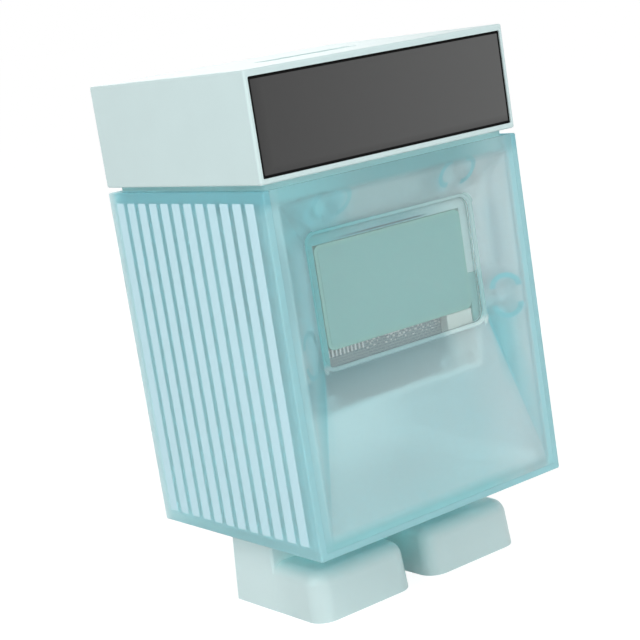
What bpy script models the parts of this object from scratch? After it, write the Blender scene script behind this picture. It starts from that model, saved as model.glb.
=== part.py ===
"""Digital coin counting jar: a robot-shaped coin bank, built as an assembly.

The front faces -Y, +Z is up, and the soles of the feet stand on Z = 0. Sizes are in metres.
"""
import bmesh
import bpy
from math import atan2, cos, hypot, acos, pi, radians, sin
from mathutils import Matrix, Vector

mm = 0.001

# Overall sizes
BODY_WIDTH = 110.0 * mm
BODY_DEPTH = 96.0 * mm
BODY_HEIGHT = 122.6 * mm
FOOT_HEIGHT = 28.8 * mm
NECK_GAP = 1.8 * mm
HEAD_HEIGHT = 36.2 * mm
GAP = 0.3 * mm

# Jar shell and lid plug
WALL = 2.5 * mm
SHELL_EDGE = 0.7 * mm
PLUG_INSET = 3.0 * mm
PLUG_DEPTH = 4.7 * mm
PLUG_WALL = 2.2 * mm
LEDGE = 5.0 * mm
LEDGE_HEIGHT = 3.0 * mm

# Head
HEAD_WALL = 1.4 * mm
HEAD_ROOF = 2.2 * mm
HEAD_EDGE = 0.8 * mm
BASE_THICK = 1.9 * mm
VISOR_THICK = 2.5 * mm
VISOR_RECESS = 0.4 * mm

# Front panel and display
PANEL_THICK = 2.2 * mm
PANEL_RIM = 2.7 * mm
PANEL_TOP_RIM = 5.5 * mm
FACET_DEPTH = 7.3 * mm
WINDOW_WIDTH = 71.2 * mm
WINDOW_HEIGHT = 44.6 * mm
WINDOW_CORNER = 4.0 * mm
WINDOW_BELOW_TOP = 40.8 * mm
WINDOW_RECESS = 0.8 * mm
WINDOW_THICK = 1.2 * mm
LIP_LAND = 1.3 * mm
LCD_SIDE_MARGIN = 3.6 * mm
LCD_TOP_MARGIN = 4.1 * mm
LCD_BOTTOM_MARGIN = 5.4 * mm
LCD_CORNER = 2.5 * mm
LCD_THICK = 2.4 * mm
FRAME_LAP = 0.9 * mm
SOCKET_OUTER = 5.0 * mm
SOCKET_INNER = 3.2 * mm
SOCKET_SPLIT = 3.2 * mm
TOP_SOCKET_X = 28.7 * mm
TOP_SOCKET_BELOW_TOP = 10.1 * mm
SIDE_SOCKET_BELOW_TOP = 56.6 * mm
PIN_RADIUS = 2.6 * mm

# Electronics housing behind the display
HOUSING_SIDE_GAP = 5.5 * mm
HOUSING_LOWER_HALF = 36.0 * mm
HOUSING_WALL = 1.8 * mm
HOUSING_DEPTH = 25.3 * mm
HOUSING_BACK_WALL = 1.9 * mm
HOUSING_BELOW_TOP = 5.6 * mm
BATTERY_ZONE = 15.3 * mm
STEP_BELOW_TOP = 46.6 * mm
BOTTOM_BELOW_TOP = 80.1 * mm
BOARD_THICK = 1.6 * mm
BOARD_SETBACK = 2.4 * mm
BOARD_RIGHT = 22.5 * mm

# Coin path
COIN_GAP = 5.0 * mm
SLOT_LENGTH = 32.0 * mm
SLOT_WIDTH = 4.8 * mm
CHUTE_HALF = 16.7 * mm
CHUTE_WALL = 1.6 * mm
CHANNEL_LEFT = 18.2 * mm
CHANNEL_RIGHT = 17.2 * mm
LEVER_POCKET_RIGHT = 34.2 * mm
LEVER_PIVOT_X = 27.0 * mm
LEVER_PIVOT_BELOW_TOP = 22.6 * mm
LEVER_REACH = Vector((-18.0 * mm, -10.0 * mm))
LEVER_TAIL = Vector((5.5 * mm, 5.5 * mm))
LEVER_THICK = 3.0 * mm
LEVER_HUB = 3.2 * mm
PIVOT_RADIUS = 1.2 * mm
PIVOT_CLEARANCE = 0.07 * mm

# Batteries, a standard size
CELL_RADIUS = 5.1 * mm
CELL_LENGTH = 44.5 * mm
CELL_PITCH = 10.6 * mm
CONTACT_THICK = 0.6 * mm
CONTACT_SPRING = 4.8 * mm

# Feet
FOOT_OUTER = 46.8 * mm
FOOT_INNER = 4.0 * mm
FOOT_FRONT = -29.7 * mm
FOOT_REAR = 21.5 * mm
LEG_FRONT = -5.0 * mm
TOE_HEIGHT = 17.5 * mm
TOE_CORNER = 6.8 * mm
TOE_EDGE = 5.0 * mm
TOE_STEP = 0.1 * mm
FOOT_DRAFT = 0.05

# Planes that several pieces share
SIDE = BODY_WIDTH / 2
FRONT = -BODY_DEPTH / 2
BACK = BODY_DEPTH / 2
BODY_BOTTOM = FOOT_HEIGHT
BODY_TOP = BODY_BOTTOM + BODY_HEIGHT
HEAD_BOTTOM = BODY_TOP + NECK_GAP
HEAD_TOP = HEAD_BOTTOM + HEAD_HEIGHT
ROOF_UNDER = HEAD_TOP - HEAD_ROOF
BASE_TOP = HEAD_BOTTOM + BASE_THICK
PLUG_BOTTOM = BODY_TOP - PLUG_DEPTH
PANEL_HALF = SIDE - WALL - GAP
PANEL_BOTTOM = BODY_BOTTOM + WALL + GAP
LIP_Y = FRONT + FACET_DEPTH
WINDOW_Y = LIP_Y + WINDOW_RECESS
LCD_Y = WINDOW_Y + WINDOW_THICK + GAP
WINDOW_Z = BODY_TOP - WINDOW_BELOW_TOP
LCD_WIDTH = WINDOW_WIDTH - 2 * LCD_SIDE_MARGIN
LCD_HEIGHT = WINDOW_HEIGHT - LCD_TOP_MARGIN - LCD_BOTTOM_MARGIN
LCD_Z = WINDOW_Z + (LCD_BOTTOM_MARGIN - LCD_TOP_MARGIN) / 2
SIDE_SOCKET_X = (PANEL_HALF - PANEL_RIM + WINDOW_WIDTH / 2 + LIP_LAND) / 2 + 2.8 * mm
HOUSING_HALF = SIDE - WALL - HOUSING_SIDE_GAP
HOUSING_Y = LCD_Y + LCD_THICK + 0.2 * mm
HOUSING_BACK = HOUSING_Y + HOUSING_DEPTH
HOUSING_INNER_BACK = HOUSING_BACK - HOUSING_BACK_WALL
HOUSING_TOP = BODY_TOP - HOUSING_BELOW_TOP
HOUSING_STEP = BODY_TOP - STEP_BELOW_TOP
HOUSING_BOTTOM = BODY_TOP - BOTTOM_BELOW_TOP
CAVITY_TOP = HOUSING_TOP - BATTERY_ZONE
BATTERY_FLOOR = CAVITY_TOP + HOUSING_WALL
BOARD_Y = HOUSING_Y + BOARD_SETBACK
BOARD_LEFT = -(HOUSING_LOWER_HALF - HOUSING_WALL - GAP)
CHANNEL_BACK = HOUSING_BACK + COIN_GAP
COVER_BACK = CHANNEL_BACK + HOUSING_WALL
COVER_RIGHT = LEVER_POCKET_RIGHT + HOUSING_WALL
COVER_BOTTOM = BODY_TOP - 66.6 * mm
COIN_Y = (HOUSING_BACK + CHANNEL_BACK) / 2
PIVOT = Vector((LEVER_PIVOT_X, COIN_Y, BODY_TOP - LEVER_PIVOT_BELOW_TOP))
SPRING_ANCHOR = PIVOT + Vector((5.3 * mm, 0, -10.5 * mm))
CELL_ROOM = CONTACT_SPRING + GAP + CELL_LENGTH + CONTACT_THICK + GAP
BAY_HALF = CONTACT_THICK + 2 * GAP + CELL_ROOM / 2 + 0.15 * mm
BAY_FRONT = HOUSING_Y + HOUSING_WALL
BUTTON = Vector((HOUSING_HALF - 8.0 * mm, HOUSING_Y + 8.3 * mm, HOUSING_TOP))
BUTTON_RADIUS = 3.5 * mm
BUTTON_TRAVEL = 1.0 * mm

for leftover in list(bpy.data.objects):
    bpy.data.objects.remove(leftover, do_unlink=True)


def new_collection(name):
    collection = bpy.data.collections.new(name)
    bpy.context.scene.collection.children.link(collection)
    return collection


PARTS = new_collection("coin_counting_jar")
CUTTERS = new_collection("cutters")


# Materials

def new_material(name, colour, roughness, metallic=0.0, transmission=0.0):
    material = bpy.data.materials.new(name)
    material.use_nodes = True
    shader = material.node_tree.nodes["Principled BSDF"]
    shader.inputs["Base Color"].default_value = (*colour, 1.0)
    shader.inputs["Roughness"].default_value = roughness
    shader.inputs["Metallic"].default_value = metallic
    shader.inputs["Transmission Weight"].default_value = transmission
    return material


MINT = new_material("mint_plastic", (0.58, 0.74, 0.74), 0.42)
FROSTED = new_material("frosted_aqua", (0.29, 0.56, 0.60), 0.45, transmission=0.5)
CLEAR = new_material("clear_window", (0.85, 0.95, 0.95), 0.05, transmission=0.95)
VISOR = new_material("visor_black", (0.035, 0.035, 0.036), 0.12)
LCD = new_material("lcd_glass", (0.27, 0.47, 0.44), 0.2)
BOARD = new_material("circuit_board", (0.10, 0.075, 0.07), 0.5)
CHIP = new_material("chip_black", (0.02, 0.02, 0.022), 0.45)
HOUSING = new_material("housing_plastic", (0.70, 0.76, 0.74), 0.5)
CONTACT_RUBBER = new_material("contact_rubber", (0.30, 0.10, 0.12), 0.7)
LEVER = new_material("lever_plastic", (0.55, 0.56, 0.57), 0.4)
STEEL = new_material("steel", (0.60, 0.60, 0.61), 0.3, metallic=1.0)
CELL = new_material("battery_sleeve", (0.08, 0.12, 0.14), 0.35)
BUTTON_GREY = new_material("button_rubber", (0.14, 0.20, 0.21), 0.6)


# Shape helpers

def mesh_from(shape, name):
    """Turn a bmesh into a mesh with outward normals, smooth except at its sharp edges."""
    bmesh.ops.recalc_face_normals(shape, faces=shape.faces)
    mesh = bpy.data.meshes.new(name)
    shape.to_mesh(mesh)
    shape.free()
    mesh.shade_smooth()
    mesh.set_sharp_from_angle(angle=radians(35))
    return mesh


def runs_along(edge, axes):
    direction = (edge.verts[1].co - edge.verts[0].co).normalized()
    return any(abs(direction["XYZ".index(axis)]) > 0.99 for axis in axes)


def round_edges(shape, edges, radius, segments):
    bmesh.ops.bevel(shape, geom=edges, offset=radius, offset_type="OFFSET", segments=segments,
                    profile=0.5, affect="EDGES", clamp_overlap=True)


def block_shape(x, y, z, origin, round_along="", radius=0.0, segments=3):
    """A box between two limits on each axis, with the edges along some axes rounded."""
    shape = bmesh.new()
    bmesh.ops.create_cube(shape, size=1.0)
    low = Vector((x[0], y[0], z[0]))
    high = Vector((x[1], y[1], z[1]))
    bmesh.ops.scale(shape, vec=high - low, verts=shape.verts)
    bmesh.ops.translate(shape, vec=(low + high) / 2 - Vector(origin), verts=shape.verts)
    if radius:
        edges = [edge for edge in shape.edges if runs_along(edge, round_along)]
        round_edges(shape, edges, radius, segments)
    return shape


def block_mesh(name, x, y, z, origin, round_along="", radius=0.0, segments=3):
    return mesh_from(block_shape(x, y, z, origin, round_along, radius, segments), name)


def tapered_mesh(name, near, far, near_y, far_y, origin):
    """A box whose far end has another width and height; near and far are (half width, low z, high z)."""
    shape = bmesh.new()
    bmesh.ops.create_cube(shape, size=2.0)
    for vert in shape.verts:
        half, low, high = near if vert.co.y < 0 else far
        end_y = near_y if vert.co.y < 0 else far_y
        vert.co = Vector((half * vert.co.x, end_y, high if vert.co.z > 0 else low)) - Vector(origin)
    return mesh_from(shape, name)


def rod_mesh(name, start, end, radius, origin, segments=24):
    """A cylinder from one point to another."""
    start, end = Vector(start), Vector(end)
    shape = bmesh.new()
    bmesh.ops.create_cone(shape, cap_ends=True, segments=segments, radius1=radius, radius2=radius,
                          depth=(end - start).length)
    turn = (end - start).to_track_quat("Z", "Y").to_matrix().to_4x4()
    place = Matrix.Translation((start + end) / 2 - Vector(origin)) @ turn
    bmesh.ops.transform(shape, matrix=place, verts=shape.verts)
    return mesh_from(shape, name)


def outline_mesh(name, points, y, origin):
    """A flat outline, given as (x, z) points, filled and extruded from y[0] to y[1]."""
    curve = bpy.data.curves.new(name, "CURVE")
    curve.dimensions = "2D"
    curve.fill_mode = "BOTH"
    curve.extrude = (y[1] - y[0]) / 2
    spline = curve.splines.new("POLY")
    spline.points.add(len(points) - 1)
    for point, (x, z) in zip(spline.points, points):
        point.co = (x, z, 0, 1)
    spline.use_cyclic_u = True
    holder = bpy.data.objects.new(name, curve)
    CUTTERS.objects.link(holder)
    evaluated = holder.evaluated_get(bpy.context.evaluated_depsgraph_get())
    mesh = bpy.data.meshes.new_from_object(evaluated)
    bpy.data.objects.remove(holder, do_unlink=True)
    bpy.data.curves.remove(curve)
    shape = bmesh.new()
    shape.from_mesh(mesh)
    bpy.data.meshes.remove(mesh)
    bmesh.ops.remove_doubles(shape, verts=shape.verts, dist=0.001 * mm)
    stand_up = Matrix.Rotation(radians(90), 4, "X")
    place = Matrix.Translation(Vector((0, (y[0] + y[1]) / 2, 0)) - Vector(origin)) @ stand_up
    bmesh.ops.transform(shape, matrix=place, verts=shape.verts)
    return mesh_from(shape, name)


def arc(centre, radius, start, end, steps):
    angles = [start + (end - start) * step / steps for step in range(steps + 1)]
    return [(centre[0] + radius * cos(angle), centre[1] + radius * sin(angle)) for angle in angles]


def half_ring(centre, outer, inner, facing, steps=10):
    """Outline of half a ring that bulges towards the angle facing."""
    start, end = facing - pi / 2, facing + pi / 2
    return arc(centre, outer, start, end, steps) + arc(centre, inner, end, start, steps)


def belt(first, first_radius, second, second_radius, steps=8):
    """Outline that wraps two circles, like a belt on two pulleys."""
    run = Vector(second) - Vector(first)
    heading = atan2(run[1], run[0])
    lean = acos((first_radius - second_radius) / hypot(run[0], run[1]))
    far_side = arc(second, second_radius, heading - lean, heading + lean, steps)
    near_side = arc(first, first_radius, heading + lean, heading + 2 * pi - lean, steps)
    return far_side + near_side


# Object helpers

def add_part(name, mesh, material, origin, rides_on=None):
    if not mesh.materials:
        mesh.materials.append(material)
    part = bpy.data.objects.new(name, mesh)
    PARTS.objects.link(part)
    part.location = Vector(origin) - (rides_on.location if rides_on else Vector())
    part.parent = rides_on
    return part


def combine(part, mesh, operation):
    """Cut a tool mesh out of a part, or fuse it on. The tool is drawn about the part's own origin."""
    tool = bpy.data.objects.new(f"{part.name}_tool_{len(part.modifiers) + 1}", mesh)
    CUTTERS.objects.link(tool)
    tool.parent = part
    tool.hide_render = True
    tool.display_type = "WIRE"
    boolean = part.modifiers.new(operation.title(), "BOOLEAN")
    boolean.operation = operation
    boolean.solver = "EXACT"
    boolean.object = tool


def cut(part, mesh):
    combine(part, mesh, "DIFFERENCE")


def fuse(part, mesh):
    combine(part, mesh, "UNION")


def add_empty(name, point):
    empty = bpy.data.objects.new(name, None)
    empty.empty_display_size = 10 * mm
    PARTS.objects.link(empty)
    empty.location = point
    return empty


def screw_profile(name, head_radius, head_height, shaft_radius, length):
    """Half section of a pan-head screw: its head stands on Z = 0 and its shaft runs down."""
    mesh = bpy.data.meshes.new(name)
    edge = head_height * 0.25
    points = [(0, 0, head_height), (head_radius - edge, 0, head_height),
              (head_radius, 0, head_height - edge),
              (head_radius, 0, 0), (shaft_radius, 0, 0), (shaft_radius, 0, -length), (0, 0, -length)]
    mesh.from_pydata(points, [(i, i + 1) for i in range(len(points) - 1)], [])
    return mesh


def add_screw(name, profile, point, tilt=0.0, rides_on=None):
    """A turned screw whose head sits on point; tilt turns it about X from pointing down."""
    screw = add_part(name, profile, STEEL, point, rides_on)
    screw.rotation_euler = (tilt, 0, 0)
    turn = screw.modifiers.new("Turn", "SCREW")
    turn.axis = "Z"
    turn.angle = 2 * pi
    turn.steps = 14
    turn.render_steps = 14
    turn.use_merge_vertices = True
    turn.merge_threshold = 0.01 * mm
    turn.use_smooth_shade = True
    return screw


def add_coil(name, start, end, radius, wire, turns, material):
    """A wound spring from one point to another, as one tube, with its least gap to itself printed."""
    start, end = Vector(start), Vector(end)
    run = end - start
    steps = 9 * turns
    turn = run.to_track_quat("Z", "Y").to_matrix()
    path = []
    for step in range(steps + 1):
        angle = 2 * pi * step / 9
        path.append(turn @ Vector((radius * cos(angle), radius * sin(angle), run.length * step / steps)))
    curve = bpy.data.curves.new(name, "CURVE")
    curve.dimensions = "3D"
    curve.bevel_depth = wire / 2
    curve.bevel_resolution = 1
    curve.use_fill_caps = True
    spline = curve.splines.new("POLY")
    spline.points.add(steps)
    for point, place in zip(spline.points, path):
        point.co = (*place, 1)
    curve.materials.append(material)
    coil = bpy.data.objects.new(name, curve)
    PARTS.objects.link(coil)
    coil.location = start
    far_apart = [(i, j) for i in range(steps) for j in range(i + 6, steps + 1)]
    least = min((path[i] - path[j]).length for i, j in far_apart) - wire
    print(f"{name}: least gap between curls {least / mm:.2f} mm")
    return coil


# Jar shell: a box open at the top and at the front

def make_jar_shell():
    origin = Vector((0, 0, BODY_BOTTOM))
    shell = add_part("jar_shell", block_mesh("jar_shell", (-SIDE, SIDE), (FRONT, BACK),
                                             (BODY_BOTTOM, BODY_TOP),
                                             origin, "XYZ", SHELL_EDGE, 3), FROSTED, origin)
    inner = SIDE - WALL
    cut(shell, block_mesh("jar_space", (-inner, inner), (FRONT - 1 * mm, BACK - WALL),
                          (BODY_BOTTOM + WALL, BODY_TOP + 1 * mm), origin))
    ledge_top = PLUG_BOTTOM - GAP
    ledge_z = (ledge_top - LEDGE_HEIGHT, ledge_top)
    for side in (-1, 1):
        ledge_x = sorted((side * (inner - LEDGE + 0.8 * mm), side * (inner + 0.5 * mm)))
        fuse(shell, block_mesh("rear_ledge", ledge_x, (BACK - WALL - LEDGE, BACK - WALL + 0.5 * mm),
                               ledge_z, origin))
        fuse(shell, block_mesh("side_ledge", ledge_x, (HOUSING_BACK - 12 * mm, HOUSING_BACK - 6 * mm),
                               ledge_z, origin))
    for x, y in FOOT_SCREWS:
        cut(shell, rod_mesh("floor_hole", (x, y, BODY_BOTTOM - 1 * mm), (x, y, BODY_BOTTOM + WALL + 1 * mm),
                            1.5 * mm + GAP, origin, 16))
    return shell


# Front panel: a rim, four facets that slope back to the display, and split sockets behind them

def facet_rectangle(depth):
    """Half width, low z and high z of the facets' front surface at some depth behind the rim."""
    share = depth / FACET_DEPTH
    rim = (PANEL_HALF - PANEL_RIM, PANEL_BOTTOM + PANEL_RIM, BODY_TOP - PANEL_TOP_RIM)
    lip_half_height = WINDOW_HEIGHT / 2 + LIP_LAND
    lip = (WINDOW_WIDTH / 2 + LIP_LAND, WINDOW_Z - lip_half_height, WINDOW_Z + lip_half_height)
    return tuple(start + (finish - start) * share for start, finish in zip(rim, lip))


def make_front_panel():
    origin = Vector((0, FRONT, WINDOW_Z))
    panel = add_part("front_panel", block_mesh("front_panel", (-PANEL_HALF, PANEL_HALF),
                                               (FRONT, FRONT + PANEL_THICK),
                                               (PANEL_BOTTOM, BODY_TOP), origin), FROSTED, origin)
    lead = 0.3 * mm
    fuse(panel, tapered_mesh("facet_backs", facet_rectangle(-lead), facet_rectangle(FACET_DEPTH),
                             FRONT + PANEL_THICK - lead, LIP_Y + PANEL_THICK, origin))
    skirt_y = (FRONT + PANEL_THICK / 2, FRONT + 8 * mm)
    skirt_top = PLUG_BOTTOM - 1 * mm
    for side in (-1, 1):
        skirt_x = sorted((side * (PANEL_HALF - 2 * mm), side * (PANEL_HALF - 0.2 * mm)))
        fuse(panel, block_mesh("skirt", skirt_x, skirt_y, (PANEL_BOTTOM + 1 * mm, skirt_top), origin))
    fuse(panel, block_mesh("skirt", (1 * mm - PANEL_HALF, PANEL_HALF - 1 * mm), skirt_y,
                           (PANEL_BOTTOM + 0.2 * mm, PANEL_BOTTOM + 2 * mm), origin))
    socket_y = (FRONT + 1 * mm, HOUSING_Y - GAP)
    for x, z in SOCKETS:
        across = z == TOP_SOCKET_Z
        for facing in ((0, pi) if across else (pi / 2, -pi / 2)):
            centre = (x + SOCKET_SPLIT * cos(facing), z + SOCKET_SPLIT * sin(facing))
            fuse(panel, outline_mesh("socket", half_ring(centre, SOCKET_OUTER, SOCKET_INNER, facing),
                                     socket_y, origin))
    cut(panel, tapered_mesh("facet_fronts", facet_rectangle(-lead), facet_rectangle(FACET_DEPTH),
                            FRONT - lead, LIP_Y, origin))
    half_width, half_height = WINDOW_WIDTH / 2, WINDOW_HEIGHT / 2
    cut(panel, block_mesh("window_opening", (-half_width, half_width),
                          (LIP_Y - 1 * mm, LIP_Y + PANEL_THICK + 1 * mm),
                          (WINDOW_Z - half_height, WINDOW_Z + half_height), origin, "Y", WINDOW_CORNER, 5))
    return panel


# Display: window, display glass and its frame, contact strip, board and chip

def make_display_frame():
    """A hook-shaped bezel above and beside the display glass, open below, where the board shows."""
    origin = Vector((0, LCD_Y, LCD_Z))
    outer_x = WINDOW_WIDTH / 2 + FRAME_LAP
    outer_top = WINDOW_Z + WINDOW_HEIGHT / 2 + FRAME_LAP
    inner_x = LCD_WIDTH / 2 + GAP
    inner_top = LCD_Z + LCD_HEIGHT / 2 + GAP
    left_end = WINDOW_Z - WINDOW_HEIGHT / 2
    right_end = HOUSING_STEP + 1 * mm
    outline = [(-outer_x, left_end), (-inner_x, left_end), (-inner_x, inner_top), (inner_x, inner_top),
               (inner_x, right_end), (outer_x, right_end), (outer_x, outer_top), (-outer_x, outer_top)]
    frame_y = (LCD_Y + GAP, HOUSING_Y - GAP)
    add_part("display_frame", outline_mesh("display_frame", outline, frame_y, origin), FROSTED, origin)


def make_display():
    half_width, half_height = WINDOW_WIDTH / 2 - GAP, WINDOW_HEIGHT / 2 - GAP
    origin = Vector((0, WINDOW_Y, WINDOW_Z))
    add_part("display_window", block_mesh("display_window", (-half_width, half_width),
                                          (WINDOW_Y, WINDOW_Y + WINDOW_THICK),
                                          (WINDOW_Z - half_height, WINDOW_Z + half_height),
                                          origin, "Y", WINDOW_CORNER - GAP, 5), CLEAR, origin)
    origin = Vector((0, LCD_Y, LCD_Z))
    add_part("lcd_panel", block_mesh("lcd_panel", (-LCD_WIDTH / 2, LCD_WIDTH / 2),
                                     (LCD_Y, LCD_Y + LCD_THICK),
                                     (LCD_Z - LCD_HEIGHT / 2, LCD_Z + LCD_HEIGHT / 2),
                                     origin, "Y", LCD_CORNER, 4), LCD, origin)
    strip_z = LCD_Z - LCD_HEIGHT / 2 + 0.5 * mm
    origin = Vector((0, BOARD_Y, strip_z))
    strip_x = (BOARD_LEFT + 4 * mm, BOARD_RIGHT - 4.5 * mm)
    add_part("lcd_connector", block_mesh("lcd_connector", strip_x, (LCD_Y + LCD_THICK + GAP, BOARD_Y - GAP),
                                         (strip_z, strip_z + 2 * mm), origin), CONTACT_RUBBER, origin)
    origin = Vector((0, BOARD_Y, WINDOW_Z))
    board = add_part("display_board", block_mesh("display_board", (BOARD_LEFT, BOARD_RIGHT),
                                                 (BOARD_Y, BOARD_Y + BOARD_THICK),
                                                 (HOUSING_BOTTOM + HOUSING_WALL + GAP,
                                                  CAVITY_TOP - 0.5 * mm),
                                                 origin), BOARD, origin)
    screw = screw_profile("board_screw", 2.4 * mm, 1.6 * mm, 1.1 * mm, 9 * mm)
    for number, (x, z) in enumerate(BOARD_POSTS, 1):
        cut(board, rod_mesh("board_hole", (x, BOARD_Y - 1 * mm, z), (x, BOARD_Y + BOARD_THICK + 1 * mm, z),
                            1.1 * mm + GAP, origin, 12))
        add_screw(f"board_screw_{number}", screw, (x, BOARD_Y - GAP, z), radians(90))
    chip_z = HOUSING_BOTTOM + 2.4 * mm
    origin = Vector((-3 * mm, BOARD_Y, chip_z))
    add_part("controller_chip", block_mesh("controller_chip", (-8 * mm, 2 * mm),
                                           (BOARD_Y - GAP - 1.5 * mm, BOARD_Y - GAP),
                                           (chip_z, chip_z + 8 * mm), origin, "XYZ", 0.3 * mm, 1),
             CHIP, origin)


# Electronics housing: stepped tray with a battery bay in its top and pins for the front panel's sockets

def make_housing():
    origin = Vector((0, HOUSING_BACK, HOUSING_TOP))
    housing_y = (HOUSING_Y, HOUSING_BACK)
    space_y = (HOUSING_Y - 1 * mm, HOUSING_INNER_BACK)
    wide, narrow = HOUSING_HALF, HOUSING_LOWER_HALF
    housing = add_part("electronics_housing", block_mesh("electronics_housing", (-wide, wide), housing_y,
                                                         (HOUSING_STEP, HOUSING_TOP), origin),
                       HOUSING, origin)
    fuse(housing, block_mesh("lower_tray", (-narrow, narrow), housing_y,
                             (HOUSING_BOTTOM, HOUSING_STEP + 5 * mm), origin))
    wide, narrow = wide - HOUSING_WALL, narrow - HOUSING_WALL
    cut(housing, block_mesh("upper_space", (-wide, wide), space_y,
                            (HOUSING_STEP + HOUSING_WALL, CAVITY_TOP), origin))
    cut(housing, block_mesh("lower_space", (-narrow, narrow), space_y,
                            (HOUSING_BOTTOM + HOUSING_WALL, HOUSING_STEP + 5 * mm), origin))
    inside = HOUSING_HALF - HOUSING_WALL
    behind = HOUSING_INNER_BACK + 0.6 * mm
    fuse(housing, block_mesh("upper_land", (33 * mm, inside + 0.5 * mm), (HOUSING_Y + 0.4 * mm, behind),
                             (HOUSING_STEP + 1 * mm, CAVITY_TOP + 1 * mm), origin))
    fuse(housing, block_mesh("lower_land", (BOARD_RIGHT + 0.7 * mm, HOUSING_LOWER_HALF - 1 * mm),
                             (BOARD_Y, behind),
                             (HOUSING_BOTTOM + 1 * mm, BODY_TOP - 58.1 * mm), origin))
    for x, z in BOARD_POSTS:
        fuse(housing, rod_mesh("board_post", (x, BOARD_Y + BOARD_THICK + GAP, z), (x, behind, z),
                               2.8 * mm, origin, 16))
        cut(housing, rod_mesh("post_hole", (x, BOARD_Y, z), (x, BOARD_Y + BOARD_THICK + 9 * mm, z),
                              1.1 * mm + GAP, origin, 12))
    cut(housing, block_mesh("battery_bay", (-BAY_HALF, BAY_HALF), (BAY_FRONT, HOUSING_INNER_BACK),
                            (BATTERY_FLOOR, HOUSING_TOP + 1 * mm), origin))
    for side in (-1, 1):
        pocket_x = sorted((side * (BUTTON.x - 6 * mm), side * inside))
        cut(housing, block_mesh("button_pocket", pocket_x, (HOUSING_Y - 1 * mm, BUTTON.y + 6.5 * mm),
                                (HOUSING_TOP - 10 * mm, HOUSING_TOP - HOUSING_WALL), origin))
        ear_x = sorted((side * (HOUSING_LOWER_HALF - 1 * mm), side * (SIDE_SOCKET_X + 4 * mm)))
        fuse(housing, block_mesh("ear", ear_x, (HOUSING_Y + 0.2 * mm, HOUSING_Y + 2.2 * mm),
                                 (SIDE_SOCKET_Z - 7.5 * mm, SIDE_SOCKET_Z + 7.5 * mm), origin))
    for x, z in SOCKETS:
        fuse(housing, rod_mesh("pin", (x, HOUSING_Y - 3.7 * mm, z), (x, HOUSING_Y + 1 * mm, z),
                               PIN_RADIUS, origin, 16))
    cut(housing, rod_mesh("button_hole", BUTTON - Vector((0, 0, 4 * mm)), BUTTON + Vector((0, 0, 1 * mm)),
                          BUTTON_RADIUS + GAP, origin, 24))
    cut(housing, rod_mesh("cover_hole", BATTERY_SCREW - Vector((0, 0, 9 * mm)), BATTERY_SCREW,
                          1.25 * mm + GAP, origin, 12))
    cut(housing, rod_mesh("pivot_hole", (PIVOT.x, behind - 2 * mm, PIVOT.z),
                          (PIVOT.x, HOUSING_BACK + 1 * mm, PIVOT.z),
                          PIVOT_RADIUS + GAP, origin, 16))
    cut(housing, block_mesh("sensor_hole", (SENSOR.x - 2.8 * mm, SENSOR.x + 2.8 * mm),
                            (behind - 2 * mm, HOUSING_BACK + 1 * mm),
                            (SENSOR.z - 2.8 * mm, SENSOR.z + 2.8 * mm), origin))
    for x, z in COVER_SCREWS:
        if z < CAVITY_TOP and x < 0:
            fuse(housing, rod_mesh("cover_post", (x, HOUSING_BACK - 8.5 * mm, z), (x, behind, z), 3 * mm,
                                   origin, 16))
        cut(housing, rod_mesh("screw_hole", (x, HOUSING_BACK - 7 * mm, z), (x, HOUSING_BACK + 1 * mm, z),
                              1.1 * mm + GAP, origin, 12))
    return housing


# Counting channel: cover, lever, pivot pin, spring and sensor

def make_channel_cover():
    origin = Vector((0, HOUSING_BACK, HOUSING_TOP))
    front = HOUSING_BACK + GAP
    cover = add_part("coin_channel_cover", block_mesh("coin_channel_cover",
                                                      (-CHANNEL_LEFT - HOUSING_WALL, COVER_RIGHT),
                                                      (front, COVER_BACK), (COVER_BOTTOM, HOUSING_TOP),
                                                      origin),
                     HOUSING, origin)
    cut(cover, block_mesh("coin_passage", (-CHANNEL_LEFT, CHANNEL_RIGHT), (front - 1 * mm, CHANNEL_BACK),
                          (COVER_BOTTOM - 1 * mm, HOUSING_TOP + 1 * mm), origin))
    cut(cover, block_mesh("lever_pocket", (CHANNEL_RIGHT - 1 * mm, LEVER_POCKET_RIGHT),
                          (front - 0.8 * mm, CHANNEL_BACK),
                          (PIVOT.z - 26 * mm, HOUSING_TOP - 3 * mm), origin))
    fuse(cover, rod_mesh("spring_peg", (SPRING_ANCHOR.x, CHANNEL_BACK + 0.5 * mm, SPRING_ANCHOR.z),
                         (SPRING_ANCHOR.x, COIN_Y - 1 * mm, SPRING_ANCHOR.z), 1.0 * mm, origin, 12))
    screw = screw_profile("cover_screw", 2.4 * mm, 1.6 * mm, 1.1 * mm, 7 * mm)
    for number, (x, z) in enumerate(COVER_SCREWS, 1):
        near_side = -CHANNEL_LEFT - 1 * mm if x < 0 else COVER_RIGHT - 1 * mm
        ear_x = sorted((near_side, x + (-4 * mm if x < 0 else 4 * mm)))
        fuse(cover, block_mesh("ear", ear_x, (front + 0.1 * mm, front + 2.2 * mm),
                               (z - 4 * mm, z + 4 * mm), origin))
        cut(cover, rod_mesh("ear_hole", (x, front - 1 * mm, z), (x, front + 4 * mm, z), 1.1 * mm + GAP,
                            origin, 12))
        add_screw(f"cover_screw_{number}", screw, (x, front + 2.2 * mm + GAP, z), radians(-90))
    return cover


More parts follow.
